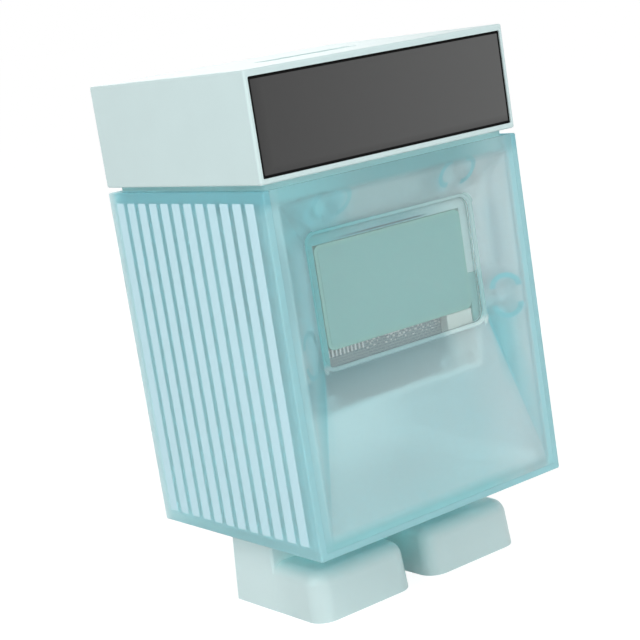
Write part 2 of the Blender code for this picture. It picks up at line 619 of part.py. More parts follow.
def make_lever():
    y = (COIN_Y - LEVER_THICK / 2, COIN_Y + LEVER_THICK / 2)
    arm = belt((0, 0), LEVER_HUB, LEVER_REACH, 2.0 * mm)
    flat = Vector((0, COIN_Y, 0))
    lever = add_part("coin_lever", outline_mesh("coin_lever", arm, y, flat), LEVER, PIVOT)
    tail_y = (y[0] + 0.2 * mm, y[1] - 0.2 * mm)
    fuse(lever, outline_mesh("tail", belt((0, 0), LEVER_HUB - 0.6 * mm, LEVER_TAIL, 1.5 * mm), tail_y,
                             flat))
    bore = PIVOT_RADIUS + PIVOT_CLEARANCE
    cut(lever, rod_mesh("bore", (0, -5 * mm, 0), (0, 5 * mm, 0), bore, (0, 0, 0), 32))
    add_part("lever_pin", rod_mesh("lever_pin", (PIVOT.x, HOUSING_INNER_BACK + GAP, PIVOT.z),
                                   (PIVOT.x, CHANNEL_BACK - GAP, PIVOT.z), PIVOT_RADIUS, PIVOT, 32),
             STEEL, PIVOT)
    spring_x = PIVOT.x + LEVER_TAIL[0] - 0.1 * mm
    add_coil("lever_spring", (spring_x, COIN_Y, SPRING_ANCHOR.z + 1.6 * mm),
             (spring_x, COIN_Y, PIVOT.z - 0.2 * mm),
             1.05 * mm, 0.4 * mm, 7, STEEL)
    add_part("lever_sensor", block_mesh("lever_sensor", (SENSOR.x - 2.5 * mm, SENSOR.x + 2.5 * mm),
                                        (HOUSING_BACK - 4 * mm, HOUSING_BACK - GAP),
                                        (SENSOR.z - 2.5 * mm, SENSOR.z + 2.5 * mm), SENSOR), CHIP, SENSOR)
    return lever


# Batteries, contacts, bay cover

def make_batteries():
    contact_z = (BATTERY_FLOOR + 0.5 * mm, BATTERY_FLOOR + 10.5 * mm)
    middle_z = BATTERY_FLOOR + GAP + CELL_RADIUS
    bay_middle = (BAY_FRONT + HOUSING_INNER_BACK) / 2
    outer = BAY_HALF - GAP
    inner = outer - CONTACT_THICK
    rows = (bay_middle - CELL_PITCH / 2, bay_middle + CELL_PITCH / 2)
    nub = 1.0 * mm
    profile = bpy.data.meshes.new("battery")
    points = [(0, 0, CELL_LENGTH), (1.9 * mm, 0, CELL_LENGTH), (1.9 * mm, 0, CELL_LENGTH - nub),
              (CELL_RADIUS - 0.5 * mm, 0, CELL_LENGTH - nub),
              (CELL_RADIUS, 0, CELL_LENGTH - nub - 0.5 * mm),
              (CELL_RADIUS, 0, 0.5 * mm), (CELL_RADIUS - 0.5 * mm, 0, 0), (0, 0, 0)]
    profile.from_pydata(points, [(i, i + 1) for i in range(len(points) - 1)], [])
    for number, (y, side) in enumerate(zip(rows, (1, -1)), 1):
        flat_end = -side * (inner - GAP - CONTACT_SPRING - GAP)
        cell = add_part(f"battery_{number}", profile, CELL, (flat_end, y, middle_z))
        cell.rotation_euler = (0, side * radians(90), 0)
        turn = cell.modifiers.new("Turn", "SCREW")
        turn.axis = "Z"
        turn.angle = 2 * pi
        turn.steps = 24
        turn.render_steps = 24
        turn.use_merge_vertices = True
        turn.merge_threshold = 0.01 * mm
        turn.use_smooth_shade = True
        wire = 0.5 * mm
        add_coil(f"battery_spring_{number}", (-side * (inner - GAP - wire / 2), y, middle_z),
                 (flat_end - side * (GAP + wire / 2), y, middle_z), 3.2 * mm, wire, 4, STEEL)
        contact_y = (y - 4.6 * mm, y + 4.6 * mm)
        origin = Vector((inner, y, middle_z))
        add_part(f"battery_contact_{number}", block_mesh("battery_contact", (inner, outer), contact_y,
                                                         contact_z, origin),
                 STEEL, origin)
    origin = Vector((-inner, bay_middle, middle_z))
    add_part("battery_bridge", block_mesh("battery_bridge", (-outer, -inner),
                                          (rows[0] - 4.6 * mm, rows[1] + 4.6 * mm),
                                          contact_z, origin), STEEL, origin)
    lid_z = (HOUSING_TOP + GAP, HOUSING_TOP + GAP + 1.6 * mm)
    origin = Vector((0, bay_middle, lid_z[0]))
    lid = add_part("battery_cover", block_mesh("battery_cover",
                                               (-BAY_HALF - 1.5 * mm, BATTERY_SCREW.x + 3.4 * mm),
                                               (HOUSING_Y + GAP, HOUSING_INNER_BACK - 0.2 * mm), lid_z,
                                               origin, "Z", 1.5 * mm, 3), HOUSING, origin)
    x, y = BATTERY_SCREW.x, BATTERY_SCREW.y
    cut(lid, rod_mesh("lid_hole", (x, y, lid_z[0] - 1 * mm), (x, y, lid_z[1] + 1 * mm), 1.25 * mm + GAP,
                      origin, 12))
    add_screw("battery_cover_screw", screw_profile("battery_cover_screw", 2.4 * mm, 1.6 * mm, 1.25 * mm,
                                                   8.5 * mm),
              (x, y, lid_z[1] + GAP))


# Reset button and its switch, under the head

def make_button():
    button = add_part("reset_button", rod_mesh("reset_button", BUTTON - Vector((0, 0, 3 * mm)),
                                               BUTTON + Vector((0, 0, 1.8 * mm)), BUTTON_RADIUS, BUTTON,
                                               24),
                      BUTTON_GREY, BUTTON)
    flange_top = HOUSING_WALL + GAP
    fuse(button, rod_mesh("flange", BUTTON - Vector((0, 0, flange_top + 1.9 * mm)),
                          BUTTON - Vector((0, 0, flange_top)),
                          BUTTON_RADIUS + 1.1 * mm, BUTTON, 24))
    floor = HOUSING_TOP - 10 * mm + GAP
    origin = Vector((BUTTON.x, BUTTON.y, floor))
    switch_top = BUTTON.z - flange_top - 1.9 * mm - BUTTON_TRAVEL - 0.5 * mm
    add_part("reset_switch", block_mesh("reset_switch", (BUTTON.x - 3 * mm, BUTTON.x + 3 * mm),
                                        (BUTTON.y - 3 * mm, BUTTON.y + 3 * mm), (floor, switch_top),
                                        origin),
             CHIP, origin)


# Feet and the screws that hold them

def drafted_shape(x, y, height, rear_drafted, origin):
    """A block on Z = 0 whose sides, front and, if asked, rear lean inwards towards its top."""
    inset = FOOT_DRAFT * height
    shape = block_shape(x, y, (0, height), origin)
    for vert in shape.verts:
        if vert.co.z > height / 2:
            vert.co.x -= inset if vert.co.x > 0 else -inset
            if vert.co.y < 0 or rear_drafted:
                vert.co.y -= inset if vert.co.y > 0 else -inset
    return shape


def upright_edges(shape, front_only):
    edges = [edge for edge in shape.edges if abs(edge.verts[0].co.z - edge.verts[1].co.z) > 5 * mm]
    return [edge for edge in edges if edge.verts[0].co.y < 0] if front_only else edges


def make_foot(name, side):
    x = sorted((side * FOOT_INNER, side * FOOT_OUTER))
    top = BODY_BOTTOM - GAP
    middle = (LEG_FRONT + FOOT_REAR) / 2
    origin = Vector(((x[0] + x[1]) / 2, middle, 0))
    toe_x = (x[0] + TOE_STEP, x[1] - TOE_STEP)
    toe = drafted_shape(toe_x, (FOOT_FRONT, middle + 4 * mm), TOE_HEIGHT, False, origin)
    round_edges(toe, upright_edges(toe, True), TOE_CORNER, 6)
    upper_edges = [edge for edge in toe.edges
                   if all(vert.co.z > TOE_HEIGHT - 0.01 * mm for vert in edge.verts)]
    round_edges(toe, upper_edges, TOE_EDGE, 4)
    foot = add_part(name, mesh_from(toe, name), MINT, origin)
    leg = drafted_shape(x, (LEG_FRONT, FOOT_REAR), top, True, origin)
    round_edges(leg, upright_edges(leg, False), 1.2 * mm, 2)
    fuse(foot, mesh_from(leg, "leg"))
    for screw_x, screw_y in FOOT_SCREWS:
        if screw_x * side > 0:
            cut(foot, rod_mesh("screw_hole", (screw_x, screw_y, top - 12.5 * mm),
                               (screw_x, screw_y, top + 1 * mm),
                               1.5 * mm + GAP, origin, 12))
    return foot


def make_feet():
    make_foot("left_foot", -1)
    make_foot("right_foot", 1)
    screw = screw_profile("foot_screw", 3.0 * mm, 1.8 * mm, 1.5 * mm, 13 * mm)
    for number, (x, y) in enumerate(FOOT_SCREWS, 1):
        add_screw(f"foot_screw_{number}", screw, (x, y, BODY_BOTTOM + WALL + GAP))


# Head: shell, visor, base with its plug, coin chute and screws, all carried by one empty

def make_head():
    lift = add_empty("head_lift", Vector((0, 0, HEAD_BOTTOM)))
    origin = Vector((0, 0, HEAD_BOTTOM))
    shell = add_part("head_shell", block_mesh("head_shell", (-SIDE, SIDE), (FRONT, BACK),
                                              (HEAD_BOTTOM, HEAD_TOP),
                                              origin, "XYZ", HEAD_EDGE, 3), MINT, origin, lift)
    inner = SIDE - HEAD_WALL
    cut(shell, block_mesh("head_space", (-inner, inner), (FRONT + HEAD_WALL, BACK - HEAD_WALL),
                          (HEAD_BOTTOM - 1 * mm, ROOF_UNDER), origin))
    cut(shell, block_mesh("visor_opening", (-inner, inner), (FRONT - 1 * mm, FRONT + HEAD_WALL + 1 * mm),
                          (BASE_TOP, ROOF_UNDER), origin))
    visor_back = FRONT + VISOR_RECESS + VISOR_THICK
    for side in (-1, 1):
        rib_x = sorted((side * (inner - 2 * mm), side * (inner + 0.5 * mm)))
        fuse(shell, block_mesh("visor_rib", rib_x, (visor_back + GAP, visor_back + 2.1 * mm),
                               (BASE_TOP + 1.5 * mm, ROOF_UNDER + 0.5 * mm), origin))
    for x, y in HEAD_SCREWS:
        fuse(shell, rod_mesh("post", (x, y, BASE_TOP + GAP), (x, y, ROOF_UNDER + 0.5 * mm), 3.2 * mm,
                             origin, 20))
        cut(shell, rod_mesh("post_hole", (x, y, BASE_TOP - 1 * mm), (x, y, BASE_TOP + 11 * mm),
                            1.25 * mm + GAP, origin, 12))
    slot_half = SLOT_LENGTH / 2
    slot_y = (COIN_Y - SLOT_WIDTH / 2, COIN_Y + SLOT_WIDTH / 2)
    cut(shell, block_mesh("slot_dish", (-slot_half - 4 * mm, slot_half + 4 * mm),
                          (slot_y[0] - 3 * mm, slot_y[1] + 3 * mm),
                          (HEAD_TOP - 0.7 * mm, HEAD_TOP + 1 * mm), origin, "Z", 3 * mm, 4))
    cut(shell, block_mesh("coin_slot", (-slot_half, slot_half), slot_y,
                          (ROOF_UNDER - 1 * mm, HEAD_TOP + 1 * mm), origin))

    visor_half = inner - GAP
    origin = Vector((0, FRONT, BASE_TOP))
    add_part("visor_window", block_mesh("visor_window", (-visor_half, visor_half),
                                        (FRONT + VISOR_RECESS, visor_back),
                                        (BASE_TOP + GAP, ROOF_UNDER - GAP), origin), VISOR, origin, lift)

    origin = Vector((0, 0, HEAD_BOTTOM))
    base_half = inner - GAP
    base = add_part("head_base", block_mesh("head_base", (-base_half, base_half),
                                            (FRONT + HEAD_WALL + GAP, BACK - HEAD_WALL - GAP),
                                            (HEAD_BOTTOM, BASE_TOP), origin), MINT, origin, lift)
    plug_x, plug_y = SIDE - PLUG_INSET, BACK - PLUG_INSET
    fuse(base, block_mesh("plug", (-plug_x, plug_x), (-plug_y, plug_y),
                          (PLUG_BOTTOM, HEAD_BOTTOM + BASE_THICK / 2),
                          origin, "Z", 3 * mm, 4))
    cut(base, block_mesh("plug_space", (PLUG_WALL - plug_x, plug_x - PLUG_WALL),
                         (PLUG_WALL - plug_y, plug_y - PLUG_WALL),
                         (PLUG_BOTTOM - 1 * mm, HEAD_BOTTOM), origin, "Z", 2 * mm, 3))
    chute_x = CHUTE_HALF + CHUTE_WALL
    chute_y = (COIN_Y - COIN_GAP / 2 - CHUTE_WALL, COIN_Y + COIN_GAP / 2 + CHUTE_WALL)
    cut(base, block_mesh("chute_hole", (-chute_x - GAP, chute_x + GAP),
                         (chute_y[0] - GAP, chute_y[1] + GAP),
                         (HEAD_BOTTOM - 1 * mm, BASE_TOP + 1 * mm), origin))
    screw = screw_profile("head_screw", 2.75 * mm, 1.8 * mm, 1.25 * mm, 11 * mm)
    for number, (x, y) in enumerate(HEAD_SCREWS, 1):
        cut(base, rod_mesh("base_hole", (x, y, HEAD_BOTTOM - 1 * mm), (x, y, BASE_TOP + 1 * mm),
                           1.25 * mm + GAP, origin, 12))
        add_screw(f"head_screw_{number}", screw, (x, y, HEAD_BOTTOM - GAP), pi, lift)

    chute = add_part("coin_chute", block_mesh("coin_chute", (-chute_x, chute_x), chute_y,
                                              (HOUSING_TOP + 0.8 * mm, ROOF_UNDER - GAP), origin),
                     HOUSING, origin, lift)
    fuse(chute, block_mesh("flange", (-chute_x - 5 * mm, chute_x + 5 * mm),
                           (chute_y[0] - 5 * mm, chute_y[1] + 5 * mm),
                           (BASE_TOP + GAP, BASE_TOP + GAP + 1.6 * mm), origin, "Z", 2 * mm, 3))
    cut(chute, block_mesh("coin_way", (-CHUTE_HALF, CHUTE_HALF),
                          (COIN_Y - COIN_GAP / 2, COIN_Y + COIN_GAP / 2),
                          (HOUSING_TOP - 1 * mm, HEAD_TOP), origin))


# Places that a hole and its screw, or a socket and its pin, share

TOP_SOCKET_Z = BODY_TOP - TOP_SOCKET_BELOW_TOP
SIDE_SOCKET_Z = BODY_TOP - SIDE_SOCKET_BELOW_TOP
SOCKETS = [(-TOP_SOCKET_X, TOP_SOCKET_Z), (TOP_SOCKET_X, TOP_SOCKET_Z),
           (-SIDE_SOCKET_X, SIDE_SOCKET_Z), (SIDE_SOCKET_X, SIDE_SOCKET_Z)]
BOARD_POSTS = [(x, z) for z in (HOUSING_BOTTOM + 4.8 * mm, CAVITY_TOP - 3.2 * mm)
               for x in (BOARD_LEFT + 2.9 * mm, BOARD_RIGHT - 3 * mm)]
COVER_SCREWS = [(-BAY_HALF - 3 * mm, HOUSING_TOP - 9 * mm), (HOUSING_HALF - 7 * mm, HOUSING_TOP - 9 * mm),
                (-CHANNEL_LEFT - 5.8 * mm, COVER_BOTTOM + 6 * mm),
                (HOUSING_HALF - 7 * mm, HOUSING_STEP + 6 * mm)]
BATTERY_SCREW = Vector((BAY_HALF + 3.5 * mm, HOUSING_Y + 11.8 * mm, HOUSING_TOP + 0.5 * mm))
SENSOR = PIVOT + Vector((-4 * mm, 0, -13.5 * mm))
FOOT_SCREWS = [(side * (FOOT_INNER + FOOT_OUTER) / 2, y) for side in (-1, 1)
               for y in (LEG_FRONT + 8 * mm, FOOT_REAR - 7 * mm)]
HEAD_SCREWS = [(side * (SIDE - 10 * mm), end * (BACK - 11 * mm)) for end in (-1, 1) for side in (-1, 1)]

make_jar_shell()
make_front_panel()
make_display()
make_display_frame()
make_housing()
make_channel_cover()
make_lever()
make_batteries()
make_button()
make_feet()
make_head()
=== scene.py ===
# %% [markdown]
# # A digital coin counting jar
# This lesson dresses a finished CAD model of a coin bank: a frosted jar on two feet, with a display
# behind a sloped front panel and a lift-off head. The CAD model is loaded as a fixed frame, and the
# pieces below take their places from the boxes of its nodes.

# %% Load the frame
import bmesh
import bpy
from math import cos, pi, radians, sin
from mathutils import Matrix, Vector


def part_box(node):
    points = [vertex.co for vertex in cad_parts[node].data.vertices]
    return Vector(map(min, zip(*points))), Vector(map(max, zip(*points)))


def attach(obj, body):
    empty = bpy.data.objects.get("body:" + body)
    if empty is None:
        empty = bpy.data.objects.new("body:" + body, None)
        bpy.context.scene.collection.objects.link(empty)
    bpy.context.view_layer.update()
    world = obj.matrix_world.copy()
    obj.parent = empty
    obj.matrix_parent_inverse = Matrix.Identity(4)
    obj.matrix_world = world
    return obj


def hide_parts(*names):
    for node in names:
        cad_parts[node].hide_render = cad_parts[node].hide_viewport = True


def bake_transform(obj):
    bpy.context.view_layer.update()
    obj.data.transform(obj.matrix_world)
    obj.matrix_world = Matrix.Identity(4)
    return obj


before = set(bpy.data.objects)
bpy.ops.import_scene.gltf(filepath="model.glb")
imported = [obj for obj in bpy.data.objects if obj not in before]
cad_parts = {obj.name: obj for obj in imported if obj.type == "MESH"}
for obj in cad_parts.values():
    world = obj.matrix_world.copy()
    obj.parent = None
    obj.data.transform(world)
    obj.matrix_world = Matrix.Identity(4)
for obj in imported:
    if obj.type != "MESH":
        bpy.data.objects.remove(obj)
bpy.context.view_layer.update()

mm = 0.001


def corners(node):
    """The low and the high corner of a CAD node's box."""
    return [Vector(corner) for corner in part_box(node)]


def middle(node):
    """The middle of a CAD node's box."""
    low, high = corners(node)
    return (low + high) / 2


# %% [markdown]
# ## Helpers
# Every material and every Geometry Nodes tree below is a chain of nodes. One helper adds a node and sets
# its inputs by name, with a link wherever the value is another node's output, and one does sums with nodes.
# The others put an object into the scene, and turn a shape into a mesh.

# %% Helpers


def fill(tree, node, inputs):
    for name, value in inputs.items():
        if isinstance(value, bpy.types.NodeSocket):
            tree.links.new(value, node.inputs[name])
        else:
            node.inputs[name].default_value = value


def add_node(tree, kind, inputs=None, **settings):
    node = tree.nodes.new(kind)
    for name, value in settings.items():
        setattr(node, name, value)
    fill(tree, node, inputs or {})
    return node


def calculate(tree, operation, *values):
    return add_node(tree, "ShaderNodeMath", dict(enumerate(values)), operation=operation).outputs[0]


def add_object(name, data):
    data.name = name
    placed = bpy.data.objects.new(name, data)
    bpy.context.scene.collection.objects.link(placed)
    return placed


def as_mesh(shape):
    mesh = bpy.data.meshes.new("shape")
    shape.to_mesh(mesh)
    shape.free()
    return mesh


# %% [markdown]
# ## Camera
# The photograph was taken from the front left, a little above, with the camera turned on its own axis.
# A long lens keeps the edges of the box nearly parallel. The camera's axes are written as a matrix,
# because a roll about the view direction is easier to read that way than as three angles.

# %% Camera
CAMERA_PLACE = Vector((-0.34690, -0.47285, 0.20594))
CAMERA_AZIMUTH = -35.78
CAMERA_ELEVATION = 10.70
CAMERA_ROLL = -8.98
CAMERA_LENS = 93.40
SENSOR_WIDTH = 36.0
NEAREST_SEEN = 0.01


def camera_axes(azimuth, elevation, roll):
    """Columns for the camera's right, up and backward directions."""
    azimuth, elevation, roll = radians(azimuth), radians(elevation), radians(roll)
    back = Vector((sin(azimuth) * cos(elevation), -cos(azimuth) * cos(elevation), sin(elevation)))
    right = Vector((0, 0, 1)).cross(back).normalized()
    up = back.cross(right)
    rolled_right = right * cos(roll) + up * sin(roll)
    rolled_up = up * cos(roll) - right * sin(roll)
    return Matrix((rolled_right, rolled_up, back)).transposed().to_4x4()


camera_data = bpy.data.cameras.new("photo_camera")
camera_data.lens = CAMERA_LENS
camera_data.sensor_width = SENSOR_WIDTH
camera_data.clip_start = NEAREST_SEEN
camera = add_object("photo_camera", camera_data)
camera_turn = camera_axes(CAMERA_AZIMUTH, CAMERA_ELEVATION, CAMERA_ROLL)
camera.matrix_world = Matrix.Translation(CAMERA_PLACE) @ camera_turn
bpy.context.scene.camera = camera
bpy.context.scene.view_settings.view_transform = "Standard"
print("camera at", [round(value, 3) for value in CAMERA_PLACE], "lens", CAMERA_LENS)

# %% [markdown]
# ## Studio
# The object stands in even white light: a white surround that lights it from everywhere, and four soft
# lamps. The left one makes the left faces a little lighter than the front, and the rear one shines into the
# jar. The surround shows as plain white to the camera and in reflections. The floor is mostly white in
# itself, with a part that still takes the object's soft shadow.

# %% Studio
WHITE = (1.0, 1.0, 1.0, 1.0)
FLOOR_PAPER = (0.92, 0.92, 0.92, 1.0)
SURROUND_LIGHT = 0.44
FLOOR_SHADOW_SHARE = 0.25
FLOOR_WHITE = 1.2
FLOOR_REACH = 30.0
LAMP_TARGET = Vector((0, 0, 0.1))
# Name, place, size and power of each lamp.
LAMPS = (("left_lamp", (-0.75, -0.38, 0.71), 0.7, 4.6),
         ("front_lamp", (-0.15, -1.15, 0.30), 0.8, 3.2),
         ("right_lamp", (0.65, -0.75, 0.75), 0.6, 1.0),
         ("rear_lamp", (0.45, 0.95, 0.60), 0.8, 2.2))


def seen_directly(tree):
    """1 for camera, mirror-like and see-through rays, which should find plain white, and 0 for the rest."""
    ray = add_node(tree, "ShaderNodeLightPath").outputs
    first = calculate(tree, "MAXIMUM", ray["Is Camera Ray"], ray["Is Glossy Ray"])
    return calculate(tree, "MAXIMUM", first, ray["Is Transmission Ray"])


def between(tree, share, first, second):
    """A shader between two others."""
    ends = {0: share, 1: first.outputs[0], 2: second.outputs[0]}
    return add_node(tree, "ShaderNodeMixShader", ends).outputs[0]


def make_surround():
    world = bpy.data.worlds.new("studio_surround")
    bpy.context.scene.world = world
    world.use_nodes = True
    tree = world.node_tree
    tree.nodes.clear()
    light = add_node(tree, "ShaderNodeBackground", {"Color": WHITE, "Strength": SURROUND_LIGHT})
    white = add_node(tree, "ShaderNodeBackground", {"Color": WHITE, "Strength": 1.0})
    add_node(tree, "ShaderNodeOutputWorld", {"Surface": between(tree, seen_directly(tree), light, white)})


def make_floor():
    material = bpy.data.materials.new("studio_floor")
    material.use_nodes = True
    tree = material.node_tree
    tree.nodes.clear()
    paper = add_node(tree, "ShaderNodeBsdfDiffuse", {"Color": FLOOR_PAPER})
    glow = add_node(tree, "ShaderNodeEmission", {"Color": WHITE, "Strength": FLOOR_WHITE})
    share = calculate(tree, "MULTIPLY", seen_directly(tree), 1.0 - FLOOR_SHADOW_SHARE)
    add_node(tree, "ShaderNodeOutputMaterial", {"Surface": between(tree, share, paper, glow)})
    shape = bmesh.new()
    bmesh.ops.create_grid(shape, x_segments=1, y_segments=1, size=FLOOR_REACH)
    floor = add_object("studio_floor", as_mesh(shape))
    floor.data.materials.append(material)


def add_lamp(name, place, size, power):
    lamp = bpy.data.lights.new(name, "AREA")
    lamp.shape = "DISK"
    lamp.size = size
    lamp.energy = power
    holder = add_object(name, lamp)
    holder.location = place
    holder.rotation_euler = (LAMP_TARGET - Vector(place)).to_track_quat("-Z", "Y").to_euler()


make_surround()
make_floor()
for lamp_row in LAMPS:
    add_lamp(*lamp_row)
print("studio: surround", SURROUND_LIGHT, "lamps", [row[-1] for row in LAMPS])

# %% [markdown]
# ## Material helpers
# Each finish below is one Principled shader. Its colour and roughness, and often a fine bump, come from
# noise and from steps in Object coordinates, which are the model's own metres. A step is an axis, the values
# before and after it, and its start and end in mm. Where a colour changes with its place, the share of the
# second colour is a product of such steps.

# %% Material helpers
GRAIN_HEIGHT = 0.02 * mm


def object_place(tree):
    return add_node(tree, "ShaderNodeTexCoord").outputs["Object"]


def object_axes(tree):
    return add_node(tree, "ShaderNodeSeparateXYZ", {"Vector": object_place(tree)}).outputs


def start_material(name):
    material = bpy.data.materials.new(name)
    material.use_nodes = True
    tree = material.node_tree
    return material, tree, tree.nodes["Principled BSDF"], object_place(tree)


def cloud(tree, place, scale, detail=3.0):
    noise = add_node(tree, "ShaderNodeTexNoise", {"Vector": place, "Scale": scale, "Detail": detail})
    return noise.outputs["Fac"]


def ramp(tree, factor, low, high, start=0.3, end=0.7):
    """A straight step from one number to another, while the factor goes from start to end."""
    return add_node(tree, "ShaderNodeMapRange", {"Value": factor, "From Min": start, "From Max": end,
                                                 "To Min": low, "To Max": high}).outputs["Result"]


def stepped(tree, axes, steps):
    """The product of the steps. The axis |X| runs from the middle to both sides."""
    share = 1.0
    for axis, before, after, start, end in steps:
        along = calculate(tree, "ABSOLUTE", axes["X"]) if axis == "|X|" else axes[axis]
        step = ramp(tree, along, before, after, start * mm, end * mm)
        share = calculate(tree, "MULTIPLY", share, step)
    return share


def blend_colours(tree, factor, first, second):
    ends = [(*end, 1.0) if isinstance(end, tuple) else end for end in (first, second)]
    return add_node(tree, "ShaderNodeMix", {0: factor, 6: ends[0], 7: ends[1]}, data_type="RGBA").outputs[2]


def tones(colour, variation):
    """The same colour a little darker and a little lighter."""
    return [tuple(min(1.0, value * (1 + change)) for value in colour) for change in (-variation, variation)]


def add_grain(material, grain, strength):
    tree = material.node_tree
    height = cloud(tree, object_place(tree), grain, 2.0)
    bump = add_node(tree, "ShaderNodeBump", {"Height": height, "Strength": strength,
                                             "Distance": GRAIN_HEIGHT})
    fill(tree, tree.nodes["Principled BSDF"], {"Normal": bump.outputs[0]})


def clouded(name, two_tones, clouds, grain, roughness, constants=None):
    """A finish whose colour drifts between two tones and whose roughness drifts between two numbers."""
    material, tree, shader, place = start_material(name)
    fill(tree, shader, {"Base Color": blend_colours(tree, cloud(tree, place, clouds), *two_tones),
                        "Roughness": ramp(tree, cloud(tree, place, grain), *roughness)})
    fill(tree, shader, constants or {})
    return material


def reopened(material):
    """The tree of a finished material, its shader, its colour so far and the object's axes."""
    tree = material.node_tree
    shader = tree.nodes["Principled BSDF"]
    return tree, shader, shader.inputs["Base Color"].links[0].from_socket, object_axes(tree)


# %% [markdown]
# ## Moulded plastics
# Most of this object is injection-moulded. Such plastic isn't one flat colour: it has faint clouds where
# the melt flowed, a fine spark-eroded texture from the mould, and a sheen that varies with it.

# %% Moulded plastics
MELT_CLOUDS = 55.0
MOULD_GRAIN = 2600.0
SHEEN_DRIFT = 0.05
MINT_COLOUR = (0.60, 0.745, 0.745)
MINT_ROUGHNESS = 0.40
HOUSING_ROUGHNESS = 0.48


def moulded(name, colour, roughness, grain=MOULD_GRAIN, variation=0.03, bump=0.12):
    sheen = (roughness - SHEEN_DRIFT, roughness + SHEEN_DRIFT)
    material = clouded(name, tones(colour, variation), MELT_CLOUDS, grain / 4, sheen)
    add_grain(material, grain, bump)
    return material


def housing_with_painted_shade(name):
    """The white housing, with painted shade in the aqua of the walls round it, towards the left and on its
    pins.
    """
    low = corners("electronics_housing")[0] / mm
    material = moulded(name, (0.94, 0.94, 0.92), HOUSING_ROUGHNESS)
    tree, shader, white, axes = reopened(material)
    # Painted shade: aqua towards the left, where the housing lies in the shade of the jar, and on the pins.
    left = stepped(tree, axes, [("X", 1, 0, low.x * 0.7, 8)])
    pins = stepped(tree, axes, [("Y", 1, 0, low.y + 3.4, low.y + 3.9)])
    painted_aqua_shade = calculate(tree, "MAXIMUM", left, pins)
    fill(tree, shader, {"Base Color": blend_colours(tree, painted_aqua_shade, white, (0.44, 0.72, 0.745))})
    return material


MINT = moulded("mint_plastic", MINT_COLOUR, MINT_ROUGHNESS)
PALE_HOUSING = moulded("housing_plastic", (0.82, 0.86, 0.85), HOUSING_ROUGHNESS, variation=0.04)
HOUSING_PAINTED_SHADE = housing_with_painted_shade("housing_painted_shade")
WHITE_REST = moulded("housing_rest", (0.72, 0.75, 0.71), HOUSING_ROUGHNESS)
AQUA_POST = moulded("display_post", (0.207, 0.462, 0.447), HOUSING_ROUGHNESS)
LEVER_GREY = moulded("lever_plastic", (0.52, 0.53, 0.54), 0.36)
CHIP_BLACK = moulded("chip_black", (0.022, 0.022, 0.024), 0.46, grain=5200.0, variation=0.15)
BUTTON_RUBBER = moulded("button_rubber", (0.13, 0.20, 0.21), 0.62, variation=0.08, bump=0.2)
CONTACT_RUBBER = moulded("contact_rubber", (0.30, 0.10, 0.12), 0.68, variation=0.2)
print("moulded plastics:", MINT.name, PALE_HOUSING.name, LEVER_GREY.name)

# %% [markdown]
# ## Frosted plastic
# The jar and its front panel are see-through but milky. Light is scattered in the wall, so what lies just
# behind shows soft edges and what lies deeper only as a shade. The Principled shader's transmission with a
# high roughness gives that blur. The colour and the transmission can change with the place: a mask says
# where, and it is given by steps as above or by a function. Two such functions follow the shape of the front
# panel, so the places of its rim, its window and its sockets are set here.

# %% Frosted plastic
PANEL_LOW, PANEL_HIGH = corners("front_panel")
JAR_LOW, JAR_HIGH = corners("jar_shell")
PANE_LOW, PANE_HIGH = corners("display_window")
GAP = 0.3 * mm
PANEL_RIM = 2.7 * mm
PANEL_TOP_RIM = 5.5 * mm
LIP_LAND = 1.3 * mm
RIM_HALF = PANEL_HIGH.x - PANEL_RIM
RIM_LOW = PANEL_LOW.z + PANEL_RIM
RIM_HIGH = PANEL_HIGH.z - PANEL_TOP_RIM
WINDOW_HALF = PANE_HIGH.x + GAP
WINDOW_LOW = PANE_LOW.z - GAP
WINDOW_HIGH = PANE_HIGH.z + GAP
# Half the width of a crease's edge, where its tint starts to fade and where it ends.
CREASE_EDGE = 0.3 * mm
CREASE_CORE = 0.5 * mm
CREASE_REACH = 7.5 * mm
SOCKET_RADIUS = 4.1 * mm
SOCKET_THICK = 1.8 * mm
SOCKET_SPLIT = 3.2 * mm
TOP_HOOK = (27.5 * mm, JAR_HIGH.z - 8.6 * mm)
SIDE_HOOK = (43.7 * mm, JAR_HIGH.z - 55.9 * mm)
# Where the tint of a hook fades, from the middle of its wall and from the split of its ring.
HOOK_FADE = (0.55 * mm, 1.15 * mm)
SPLIT_FADE = (-0.6 * mm, 0.2 * mm)
FROSTED_ROUGHNESS = 0.45
FROST_DRIFT = 0.03
FROST_PATCHES = 900.0
FROST_GRAIN = 3000.0
FROST_BUMP = 0.10
MILK_CLOUDS = 40.0
MILK_VARIATION = 0.03
# The same places in millimetres, for the masks.
rim_half, rim_low, rim_high = (value / mm for value in (RIM_HALF, RIM_LOW, RIM_HIGH))
pane_half, pane_low, pane_high = (value / mm for value in (WINDOW_HALF, WINDOW_LOW, WINDOW_HIGH))


def split_ring(tree, along, across):
    """1 on two half rings that face each other, given the place along their split and across it."""
    beyond = calculate(tree, "SUBTRACT", calculate(tree, "ABSOLUTE", along), SOCKET_SPLIT)
    squares = calculate(tree, "MULTIPLY_ADD", beyond, beyond, calculate(tree, "MULTIPLY", across, across))
    from_ring = calculate(tree, "SUBTRACT", calculate(tree, "SQRT", squares), SOCKET_RADIUS)
    on_ring = ramp(tree, calculate(tree, "ABSOLUTE", from_ring), 1.0, 0.0, *HOOK_FADE)
    return calculate(tree, "MULTIPLY", on_ring, ramp(tree, beyond, 0.0, 1.0, *SPLIT_FADE))


def hooks(tree, axes):
    """1 where the sockets for the housing's pins grow from the panel's back."""
    sideways = calculate(tree, "ABSOLUTE", axes["X"])
    rings = []
    for (x, z), upright in ((TOP_HOOK, False), (SIDE_HOOK, True)):
        across = calculate(tree, "SUBTRACT", sideways, x)
        height = calculate(tree, "SUBTRACT", axes["Z"], z)
        rings.append(split_ring(tree, height, across) if upright else split_ring(tree, across, height))
    return calculate(tree, "MAXIMUM", *rings)


